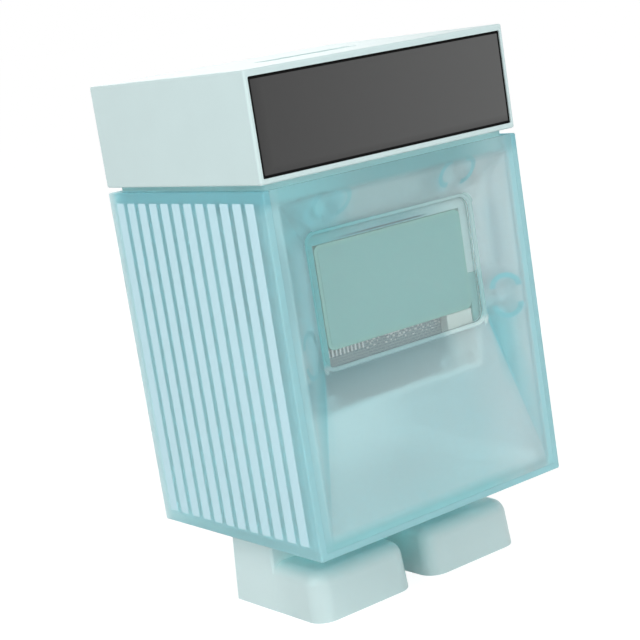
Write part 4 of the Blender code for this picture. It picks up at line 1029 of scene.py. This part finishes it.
def grow(name, build, sizes, material, points=()):
    """Build a tree with an input for each size, run it on the points and keep the result as a plain mesh."""
    tree = bpy.data.node_groups.new(name, "GeometryNodeTree")
    for way in ("INPUT", "OUTPUT"):
        tree.interface.new_socket("Geometry", in_out=way, socket_type="NodeSocketGeometry")
    for label, value in sizes.items():
        kind = "NodeSocket" + INPUT_KINDS[type(value)]
        tree.interface.new_socket(label, in_out="INPUT", socket_type=kind)
    grown = build(tree, add_node(tree, "NodeGroupInput").outputs)
    real = geometry(tree, "RealizeInstances", {"Geometry": grown})
    painted = geometry(tree, "SetMaterial", {"Geometry": real, "Material": material})
    add_node(tree, "NodeGroupOutput", {"Geometry": painted})
    mesh = bpy.data.meshes.new(name)
    mesh.from_pydata([tuple(point) for point in points], [], [])
    piece = add_object(name, mesh)
    modifier = piece.modifiers.new(name, "NODES")
    modifier.node_group = tree
    for item in tree.interface.items_tree:
        if item.in_out == "INPUT" and item.name in sizes:
            modifier[item.identifier] = sizes[item.name]
    settle(piece)
    return piece


# %% [markdown]
# ## Side stripes
# Twelve pale bars are printed on each side. A print has hardly any thickness, so each bar is a sheet
# a few hundredths of a millimetre proud of the wall. A line of points carries one bar each.

# %% Side stripes
STRIPE_PITCH = 7.32 * mm
# Half of a stripe's thickness lies in the wall.
STRIPE_SIZE = (0.1 * mm, 4.75 * mm, 114.3 * mm)
STRIPES = {"Count": 12, "First": (JAR_LOW.x, -39.75 * mm, JAR_LOW.z + 61.65 * mm),
           "Step": (0, STRIPE_PITCH, 0), "Block": STRIPE_SIZE, "Other Side": (JAR_HIGH.x - JAR_LOW.x, 0, 0)}
STRIPE = clouded("stripe_print", ((0.51, 0.77, 0.85), (0.55, 0.80, 0.88)), 70.0, 1800.0, (0.38, 0.48))


def both_sides(tree, size):
    bars = row_of_blocks(tree, size)
    moved = geometry(tree, "Transform", {"Geometry": bars, "Translation": size["Other Side"]})
    both = add_node(tree, "GeometryNodeJoinGeometry", {"Geometry": bars})
    fill(tree, both, {"Geometry": moved})
    return both.outputs[0]


finish_piece(grow("side_stripes", both_sides, STRIPES, STRIPE), "jar", angle=0)

# %% [markdown]
# ## Sockets behind the facets
# The housing's four pins fit into split sockets on the back of the panel: two half rings that face each
# other. Through the frosted plastic they show as faint hooks. Each half ring is an arc swept with
# a rectangle, and its front end is then moved onto the back of the sloping facet that it grows from.

# %% Sockets
TOP_SOCKET = (28.7 * mm, JAR_HIGH.z - 10.1 * mm)
SIDE_SOCKET = (46.0 * mm, JAR_HIGH.z - 56.6 * mm)
SOCKET_DEEP = 4.0 * mm
PIN_REACH = 3.7 * mm
SOCKET_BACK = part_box("electronics_housing")[0][1] + PIN_REACH - GAP
SOCKET_MIDDLE = SOCKET_BACK - SOCKET_DEEP / 2
SOCKET_CLEAR = 0.05 * mm
SOCKET_SIZES = {"Radius": SOCKET_RADIUS, "Thickness": SOCKET_THICK, "Depth": SOCKET_DEEP}


def behind_top_facet(point):
    return (RIM_HIGH - point.z) / (RIM_HIGH - WINDOW_HIGH - LIP_LAND)


def behind_side_facet(point):
    return (RIM_HALF - abs(point.x)) / (RIM_HALF - WINDOW_HALF - LIP_LAND)


def half_rings(tree, size):
    arc = geometry(tree, "CurveArc", {"Radius": size["Radius"], "Resolution": 18,
                                      "Start Angle": -pi / 2, "Sweep Angle": pi})
    wall = geometry(tree, "CurvePrimitiveQuadrilateral", {"Width": size["Thickness"],
                                                          "Height": size["Depth"]})
    ring = geometry(tree, "CurveToMesh", {"Curve": arc, "Profile Curve": wall, "Fill Caps": True})
    upright = geometry(tree, "Transform", {"Geometry": ring, "Rotation": (pi / 2, 0, 0)})
    return repeat(tree, size["Geometry"], upright, Rotation=size["Turn"])


def make_sockets(name, place, facings, slope):
    """Half rings on the left and on the right, one piece for each way that they face."""
    for number, facing in enumerate(facings, 1):
        across, up = SOCKET_SPLIT * cos(facing), SOCKET_SPLIT * sin(facing)
        spots = [(side * place[0] + across, SOCKET_MIDDLE, place[1] + up) for side in (-1, 1)]
        sizes = {**SOCKET_SIZES, "Turn": (0, -facing, 0)}
        sockets = grow(f"{name}_{number}", half_rings, sizes, SOCKET_FROSTED, spots)
        for vert in sockets.data.vertices:
            if vert.co.y < SOCKET_MIDDLE:
                share = min(1.0, max(0.0, slope(vert.co)))
                vert.co.y = PANEL_BACK + FACET_DEPTH * share + SOCKET_CLEAR
        finish_piece(sockets, "jar")


make_sockets("top_sockets", TOP_SOCKET, (0, pi), behind_top_facet)
make_sockets("side_sockets", SIDE_SOCKET, (pi / 2, -pi / 2), behind_side_facet)

# %% [markdown]
# ## Window and display
# A clear pane closes the opening, and the liquid crystal panel lies right behind it. Both are thin plates
# with broken edges, so the loft makes them. A film on the panel's face stops short of its edge, as the
# polariser on a real one does. A white block of the housing reaches up below the display's right corner, an
# aqua post stands beside it, and a seal closes the seam between the panel's lip and the display's frame.

# %% Window and display
FRAME_LOW, FRAME_HIGH = corners("display_frame")
POST_TOP = 105.75 * mm
FILM_THICK = 0.12 * mm
FILM_INSET = 1.1 * mm
FILM_CORNER = 1.6 * mm
REST_LOW = (20.6 * mm, LCD_LOW.y + 0.8 * mm, LCD_LOW.z - 6.7 * mm)
REST_HIGH = (32.2 * mm, LCD_HIGH.y + 2.5 * mm, LCD_LOW.z - 0.4 * mm)
POST_LOW = (LCD_HIGH.x + GAP, FRAME_LOW.y, FRAME_LOW.z)
POST_HIGH = (FRAME_HIGH.x, FRAME_HIGH.y, POST_TOP)
SEAL_WIDTH = 0.9 * mm
pane = loft(plate_rings("display_window", corner=3.9 * mm, edge=0.06 * mm, spread=0.27 * mm))
glass = loft(plate_rings("lcd_panel", corner=2.5 * mm, edge=0.25 * mm, spread=0.2 * mm))
film = loft([plate_ring(LCD_LOW, LCD_HIGH, FILM_INSET, FILM_CORNER, y)
             for y in (LCD_LOW.y - FILM_THICK, LCD_LOW.y)])
rest = rounded_box(REST_LOW, REST_HIGH, radius=0.3 * mm, segments=3)
post = rounded_box(POST_LOW, POST_HIGH, radius=0.15 * mm, segments=2)
seal = loft([lip_ring(0.0, LIP_BACK), lip_ring(0.0, FRAME_LOW.y),
             lip_ring(SEAL_WIDTH, FRAME_LOW.y), lip_ring(SEAL_WIDTH, LIP_BACK)], loop=True)
# Name, mesh, slot, replaced nodes and material.
DISPLAY_PIECES = (("clear_pane", pane, "clear_window", ["display_window"], CLEAR),
                  ("display_glass", glass, "lcd_glass", ["lcd_panel"], LIQUID_CRYSTAL),
                  ("display_film", film, "lcd_glass", [], POLARISER),
                  ("display_rest", rest, "housing_plastic", [], WHITE_REST),
                  ("display_post", post, "frosted_aqua", [], AQUA_POST),
                  ("display_seal", seal, "frosted_aqua", [], LIP_POLISHED))
for name, mesh, slot, nodes, material in DISPLAY_PIECES:
    finish_piece(add_object(name, mesh), "jar", nodes, [material])

# %% [markdown]
# ## Circuit board
# A dark board carries the display. Its tracks are a fine pattern in the lacquer. Below the display a row
# of pins is soldered to it, with small parts beside them and a chip lower down.

# %% Circuit board
BOARD_LOW, BOARD_HIGH = corners("display_board")
CHIP_LOW, CHIP_HIGH = corners("controller_chip")
PIN_COUNT = 10
PIN_PITCH = 1.64 * mm
PIN_SIZE = (0.7 * mm, 0.5 * mm, 2.4 * mm)
FIRST_PIN = (-29.5 * mm, BOARD_LOW.y - 0.35 * mm, LCD_LOW.z - 2.2 * mm)
LEG_COUNT = 6
LEG_PITCH = 1.27 * mm
LEG_SIZE = (1.0 * mm, 0.3 * mm, 0.45 * mm)
LEG_OUT = 0.5 * mm
PARTS_LEFT = FIRST_PIN[0] + PIN_COUNT * PIN_PITCH
PARTS_RIGHT = BOARD_HIGH.x - 2 * mm
PARTS_MIDDLE = ((PARTS_LEFT + PARTS_RIGHT) / 2, BOARD_LOW.y - 0.15 * mm, LCD_LOW.z - 2.4 * mm)
PARTS = {"Strip": (PARTS_RIGHT - PARTS_LEFT, 0, 3.6 * mm), "Middle": PARTS_MIDDLE, "Density": 900000.0,
         "Spacing": 0.9 * mm, "Seed": 4, "Smallest": (0.35 * mm, 0.3 * mm, 0.35 * mm),
         "Largest": (1.1 * mm, 0.3 * mm, 0.7 * mm)}
SOLDER = clouded("solder", ((0.62, 0.63, 0.64), (0.80, 0.80, 0.80)), 1500.0, 2500.0, (0.25, 0.45),
                 {"Metallic": 0.6})


def lacquered_board(name):
    """Fine tracks in the lacquer, and painted shade that makes the lower part nearly black."""
    material, tree, shader, place = start_material(name)
    flat = add_node(tree, "ShaderNodeMapping", {"Vector": place, "Rotation": (radians(90), 0, 0)}).outputs[0]
    tracks = add_node(tree, "ShaderNodeTexBrick", {
        "Vector": flat, "Scale": 260.0, "Mortar Size": 0.06, "Color1": (0.165, 0.225, 0.24, 1.0),
        "Color2": (0.20, 0.25, 0.27, 1.0), "Mortar": (0.29, 0.37, 0.38, 1.0)}).outputs["Color"]
    # Painted shade: the lower part of the board is nearly black.
    lower = stepped(tree, object_axes(tree), [("Z", 1, 0, pane_low - 4, pane_low - 2)])
    fill(tree, shader, {"Base Color": blend_colours(tree, lower, tracks, (0.018, 0.018, 0.022)),
                        "Roughness": ramp(tree, cloud(tree, place, 700.0), 0.35, 0.5)})
    return material


def solder_row(name, count, first, step, block):
    sizes = {"Count": count, "First": first, "Step": step, "Block": block}
    finish_piece(grow(name, row_of_blocks, sizes, SOLDER), "jar", angle=0)


def scattered_parts(tree, size):
    """Blocks of random sizes all over an upright strip."""
    sides = add_node(tree, "ShaderNodeSeparateXYZ", {"Vector": size["Strip"]}).outputs
    sheet = geometry(tree, "MeshGrid", {"Size X": sides["X"], "Size Y": sides["Z"]})
    strip = geometry(tree, "Transform", {"Geometry": sheet, "Translation": size["Middle"],
                                         "Rotation": (pi / 2, 0, 0)})
    spots = geometry(tree, "DistributePointsOnFaces", {"Mesh": strip, "Seed": size["Seed"],
                                                       "Density Max": size["Density"],
                                                       "Distance Min": size["Spacing"]},
                     distribute_method="POISSON")
    block = geometry(tree, "MeshCube", {"Size": (1.0, 1.0, 1.0)})
    scale = add_node(tree, "FunctionNodeRandomValue",
                     {0: size["Smallest"], 1: size["Largest"], 8: size["Seed"]}, data_type="FLOAT_VECTOR")
    return repeat(tree, spots, block, Scale=scale.outputs[0])


dressed_copy("display_board", "jar", lacquered_board("circuit_board"), FINE_EDGE)
dressed_copy("controller_chip", "jar", CHIP_BLACK, 0.0)
solder_row("display_pins", PIN_COUNT, FIRST_PIN, (PIN_PITCH, 0, 0), PIN_SIZE)
for number, leg_x in enumerate((CHIP_LOW.x - LEG_OUT, CHIP_HIGH.x + LEG_OUT), 1):
    first_leg = (leg_x, BOARD_LOW.y - 0.3 * mm, CHIP_LOW.z + 0.8 * mm)
    solder_row(f"chip_legs_{number}", LEG_COUNT, first_leg, (0, 0, LEG_PITCH), LEG_SIZE)
finish_piece(grow("board_parts", scattered_parts, PARTS, SOLDER), "jar", angle=0)

# %% [markdown]
# ## Feet
# Each foot is one moulding: a leg that reaches up to the jar, and a toe with a soft top in front of it. The
# sides lean in towards the top, as a mould needs. The block's top is drawn in, its upright edges and then
# its top edges are rounded, and the leg is joined on.

# %% Feet
FOOT_DRAFT = 0.05
TOE_STEP = 0.1 * mm
TOE_HEIGHT = 17.5 * mm
TOE_CORNER = 6.8 * mm
TOE_EDGE = 5.0 * mm
LEG_FRONT = -5.0 * mm
LEG_CORNER = 1.2 * mm
LONG_EDGE = 5 * mm
TOE_IN_LEG = 4 * mm
SCREW_HOLE_DEEP = 12.5 * mm


def drafted_block(low, high, rear_drafted):
    """A block whose sides, front and, if asked, rear lean inwards towards its top."""
    shape = bmesh.new()
    bmesh.ops.create_cube(shape, size=2.0)
    centre, reach = (Vector(low) + Vector(high)) / 2, (Vector(high) - Vector(low)) / 2
    inset = FOOT_DRAFT * (high[2] - low[2])
    for vert in shape.verts:
        corner = vert.co.copy()
        vert.co = centre + corner * reach
        if corner.z > 0:
            vert.co.x -= inset * corner.x
            if corner.y < 0 or rear_drafted:
                vert.co.y -= inset * corner.y
    return shape


def upright_edges(shape):
    return [edge for edge in shape.edges if abs(edge.verts[0].co.z - edge.verts[1].co.z) > LONG_EDGE]


def feet_with_painted_light(name):
    """The head's mint with painted light: a paler mint beside the legs, and the jar's aqua on the toe tops
    and inner sides, standing in for light that comes down through the jar.
    """
    toe_top, leg_front = TOE_HEIGHT / mm, LEG_FRONT / mm
    material = moulded(name, MINT_COLOUR, MINT_ROUGHNESS)
    tree, shader, mint, axes = reopened(material)
    painted_light_beside_leg = stepped(tree, axes, [("Y", 0, 1, -14, 0)])
    on_top = stepped(tree, axes, (("Z", 0, 1, toe_top - 4, toe_top - 0.5), ("|X|", 1, 0.1, 37, 46),
                                  ("Y", 1, 0, leg_front + 0.4, leg_front + 1.6)))
    inside = stepped(tree, axes, (("|X|", 1, 0, 5.5, 9.5), ("Z", 0.3, 1, 2, 14)))
    backward = stepped(tree, axes, [("Y", 0.2, 1, -28, -15)])
    # Painted light: aqua where light through the jar would fall, on the toe tops and the inner sides.
    aqua = calculate(tree, "MULTIPLY", calculate(tree, "MAXIMUM", on_top, inside), backward)
    mint = blend_colours(tree, painted_light_beside_leg, mint, (0.66, 0.81, 0.81))
    fill(tree, shader, {"Base Color": blend_colours(tree, aqua, mint, (0.66, 1.0, 0.99))})
    return material


FOOT_PAINTED_LIGHT = feet_with_painted_light("feet_painted_light")


def make_foot(name, node):
    low, high = corners(node)
    leg_middle = (LEG_FRONT + high.y) / 2
    toe_rear = leg_middle + TOE_IN_LEG
    toe = drafted_block((low.x + TOE_STEP, low.y, 0), (high.x - TOE_STEP, toe_rear, TOE_HEIGHT), False)
    in_front = [edge for edge in upright_edges(toe) if edge.verts[0].co.y < leg_middle - LONG_EDGE]
    round_edges(toe, in_front, TOE_CORNER, 14)
    near_top = TOE_HEIGHT - 0.01 * mm
    on_top = [edge for edge in toe.edges if all(vert.co.z > near_top for vert in edge.verts)]
    round_edges(toe, on_top, TOE_EDGE, 10)
    shoe = add_object(name, as_mesh(toe))
    leg = drafted_block((low.x, LEG_FRONT, 0), high, True)
    round_edges(leg, upright_edges(leg), LEG_CORNER, 4)
    join(shoe, as_mesh(leg))
    hole_foot, hole_top = high.z - SCREW_HOLE_DEEP, high.z + HOLE_BEYOND
    for screw in FOOT_SCREWS:
        if low.x < screw.x < high.x:
            cut(shoe, upright_rod(screw.x, screw.y, hole_foot, hole_top, FOOT_SCREW_HOLE, 24))
    finish_piece(shoe, "jar", [node], [FOOT_PAINTED_LIGHT])


make_foot("left_shoe", "left_foot")
make_foot("right_shoe", "right_foot")

# %% [markdown]
# ## Cells
# Two AAA cells lie side by side in the bay, turned opposite ways. A cell is a turned shape: a steel can with
# a printed sleeve, and a nub on its positive end.

# %% Cells
SPIN_WELD = 0.005 * mm
NUB_HEIGHT = 1.0 * mm
SLEEVE = clouded("battery_sleeve", ((0.045, 0.085, 0.10), (0.06, 0.105, 0.12)), 120.0, 120.0, (0.24, 0.34))
SLEEVE_BAND = moulded("sleeve_band", (0.55, 0.58, 0.58), 0.30)


def turned(profile, place, direction, steps=48):
    """Spin (distance along, radius) points about a line through place."""
    direction = Vector(direction)
    shape = bmesh.new()
    across = direction.orthogonal().normalized()
    points = [shape.verts.new(Vector(place) + direction * along + across * radius)
              for along, radius in profile]
    edges = [shape.edges.new(pair) for pair in zip(points[:-1], points[1:])]
    bmesh.ops.spin(shape, geom=points + edges, cent=place, axis=direction, angle=2 * pi, steps=steps,
                   use_duplicate=False)
    bmesh.ops.remove_doubles(shape, verts=shape.verts, dist=SPIN_WELD)
    bmesh.ops.recalc_face_normals(shape, faces=shape.faces)
    return as_mesh(shape)


def make_cell(name, node, direction):
    low, high = corners(node)
    radius = (high.z - low.z) / 2
    length = high.x - low.x
    start = middle(node)
    start.x = low.x if direction > 0 else high.x
    nub = length - NUB_HEIGHT
    profile = [(0.25 * mm, 0), (0.25 * mm, radius * 0.62), (0.0, radius * 0.70), (0.0, radius - 0.8 * mm),
               (0.25 * mm, radius - 0.25 * mm), (0.7 * mm, radius), (nub * 0.74, radius),
               (nub * 0.76, radius), (nub - 0.7 * mm, radius), (nub - 0.2 * mm, radius - 0.25 * mm),
               (nub, radius - 0.9 * mm),
               (nub - 0.15 * mm, 2.4 * mm), (nub, 1.9 * mm), (length - 0.25 * mm, 1.9 * mm),
               (length, 1.6 * mm), (length, 0)]
    cell = add_object(name, turned(profile, start, (direction, 0, 0)))
    for material in (STEEL, SLEEVE, SLEEVE_BAND):
        cell.data.materials.append(material)
    for face in cell.data.polygons:
        from_start = face.center - start
        if from_start.yz.length > radius - 0.5 * mm:
            in_band = nub * 0.75 < from_start.x * direction < nub * 0.97
            face.material_index = 2 if in_band else 1
    finish_piece(cell, "jar", [node], angle=40.0)


make_cell("front_cell", "battery_1", 1)
make_cell("rear_cell", "battery_2", -1)

# %% [markdown]
# ## Springs
# Each cell rests against a conical spring, and the lever has a small return spring. A spring is a round wire
# along a helix whose end turns lie flat. The return spring reaches between two bodies and rides on neither.

# %% Springs
CELL_SPRING_WIRE = 0.5 * mm
CELL_SPRING_RADII = (3.2 * mm, 2.2 * mm)
RETURN_WIRE = 0.4 * mm
RETURN_RADII = (1.05 * mm, 1.05 * mm)


def coil(name, start, end, radii, wire, turns, flat_turns=0.8, per_turn=28):
    """A wire along a helix from start to end, with a radius at each end and flat end turns."""
    reach = end - start
    first = reach.normalized().orthogonal().normalized()
    second = reach.normalized().cross(first)
    count = int(turns * per_turn)
    flat = flat_turns / turns
    wire_share = wire / reach.length
    curve = bpy.data.curves.new(name, "CURVE")
    curve.dimensions = "3D"
    curve.bevel_depth = wire / 2
    curve.bevel_resolution = 3
    curve.use_fill_caps = True
    spline = curve.splines.new("POLY")
    spline.points.add(count)
    for index, point in enumerate(spline.points):
        share = index / count
        free = min(1.0, max(0.0, (share - flat) / (1 - 2 * flat)))
        laid = min(1.0, share / flat) + max(0.0, (share - 1 + flat) / flat)
        climb = free * (1 - 2 * wire_share) + wire_share * laid
        angle = share * turns * 2 * pi
        radius = radii[0] + (radii[1] - radii[0]) * share
        point.co = (*(start + reach * climb + (first * cos(angle) + second * sin(angle)) * radius), 1.0)
    bent = add_object(name, curve)
    mesh = bpy.data.meshes.new_from_object(bent.evaluated_get(bpy.context.evaluated_depsgraph_get()))
    bpy.data.objects.remove(bent, do_unlink=True)
    mesh.shade_smooth()
    return add_object(name, mesh)


def coil_ends(node, axis, wire):
    """The middles of a coil's first and last turn, in a CAD node's box."""
    low, high = corners(node)
    first, last = middle(node), middle(node)
    first[axis] = low[axis] + wire / 2
    last[axis] = high[axis] - wire / 2
    return [first, last]


for number, order in ((1, 1), (2, -1)):
    spring_node = f"battery_spring_{number}"
    spring_ends = coil_ends(spring_node, 0, CELL_SPRING_WIRE)[::order]
    for spring_end in spring_ends:
        spring_end.z = middle("battery_1").z
    cell_spring = coil(f"cell_spring_{number}", *spring_ends, CELL_SPRING_RADII, CELL_SPRING_WIRE, 4)
    finish_piece(cell_spring, "jar", [spring_node], [STEEL], angle=0)

return_foot, return_head = coil_ends("lever_spring", 2, RETURN_WIRE)
return_spring = coil("return_spring", return_foot, return_head, RETURN_RADII, RETURN_WIRE, 7)
return_spring.data.materials.append(STEEL)
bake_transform(return_spring)
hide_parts("lever_spring")
print("return spring bends between the jar and the lever, faces", len(return_spring.data.polygons))

# %% [markdown]
# ## Screws
# Five kinds of screw hold the mouldings. Each has a pan head with a cross recess, and one node tree sets a
# whole family of them on its points, all turned the same way.

# %% Screws


def four(node):
    return [f"{node}_{number}" for number in range(1, 5)]


# Name, body and nodes. Then head radius, head height, shaft radius and length in mm. Then the axis that the
# screw lies along, the side that its head is on, and its turn.
SCREWS = (("board_screws", "jar", four("board_screw"), (2.4, 1.6, 1.1, 9.0), 1, -1, (pi / 2, 0, 0)),
          ("cover_screws", "jar", four("cover_screw"), (2.4, 1.6, 1.1, 7.0), 1, 1, (-pi / 2, 0, 0)),
          ("foot_screws", "jar", four("foot_screw"), (3.0, 1.8, 1.5, 13.0), 2, 1, (0, 0, 0)),
          ("bay_screw", "jar", ["battery_cover_screw"], (2.4, 1.6, 1.25, 8.5), 2, 1, (0, 0, 0)),
          ("head_screws", "head", four("head_screw"), (2.75, 1.8, 1.25, 11.0), 2, -1, (pi, 0, 0)))


def screw_shape(name, head, height, shaft, length):
    """A pan-head screw that stands on z = 0 with its shaft below, and a cross recess in its head."""
    profile = [(-length, 0), (-length, shaft * 0.45), (-length + 1.2 * mm, shaft), (0, shaft),
               (0, head - 0.15 * mm), (0.2 * mm, head), (height * 0.55, head * 0.97),
               (height * 0.85, head * 0.78), (height, head * 0.45), (height, 0)]
    screw = add_object(name, turned(profile, (0, 0, 0), (0, 0, 1), 32))
    half, reach = head * 0.13, head * 0.55
    for x, y in ((half, reach), (reach, half)):
        cut(screw, rounded_box((-x, -y, height * 0.5), (x, y, height + 1 * mm)))
    smooth(screw, 35.0)
    return screw


def screw_seat(node, height, axis, side):
    """The place under a CAD screw's head: the middle of its box, one head height in from the head's end."""
    low, high = corners(node)
    seat = middle(node)
    seat[axis] = high[axis] - height if side > 0 else low[axis] + height
    return seat


def placed_screws(tree, size):
    screw = add_node(tree, "GeometryNodeObjectInfo", {"Object": size["Screw"], "As Instance": True})
    return repeat(tree, size["Geometry"], screw.outputs["Geometry"], Rotation=size["Turn"])


for name, body, nodes, sizes, axis, side, turn in SCREWS:
    model = screw_shape(name + "_model", *(size * mm for size in sizes))
    seats = [screw_seat(node, sizes[1] * mm, axis, side) for node in nodes]
    screws = grow(name, placed_screws, {"Screw": model, "Turn": turn}, STEEL, seats)
    bpy.data.objects.remove(model, do_unlink=True)
    finish_piece(screws, body, nodes, angle=0)

# %% [markdown]
# ## Reset button
# A small rubber cap under the head clears the count. Its top is slightly domed, and a flange below keeps it
# in the housing. It is turned from one profile.

# %% Reset button
BUTTON_LOW, BUTTON_HIGH = corners("reset_button")
FLANGE = (BUTTON_HIGH.x - BUTTON_LOW.x) / 2
FLANGE_TOP = 1.9 * mm
FLANGE_EDGE = 0.2 * mm
CAP = FLANGE - 1.1 * mm
CAP_TOP = BUTTON_HIGH.z - BUTTON_LOW.z
button_foot = middle("reset_button")
button_foot.z = BUTTON_LOW.z
button_profile = [(0, 0), (0, FLANGE - FLANGE_EDGE), (FLANGE_EDGE, FLANGE),
                  (FLANGE_TOP - FLANGE_EDGE, FLANGE), (FLANGE_TOP, FLANGE - FLANGE_EDGE),
                  (FLANGE_TOP, CAP), (CAP_TOP - 0.8 * mm, CAP),
                  (CAP_TOP - 0.45 * mm, CAP - 0.1 * mm), (CAP_TOP - 0.2 * mm, CAP - 0.4 * mm),
                  (CAP_TOP - 0.08 * mm, CAP * 0.6), (CAP_TOP, 0)]
reset_cap = add_object("reset_cap", turned(button_profile, button_foot, (0, 0, 1)))
finish_piece(reset_cap, "button", ["reset_button"], [BUTTON_RUBBER])
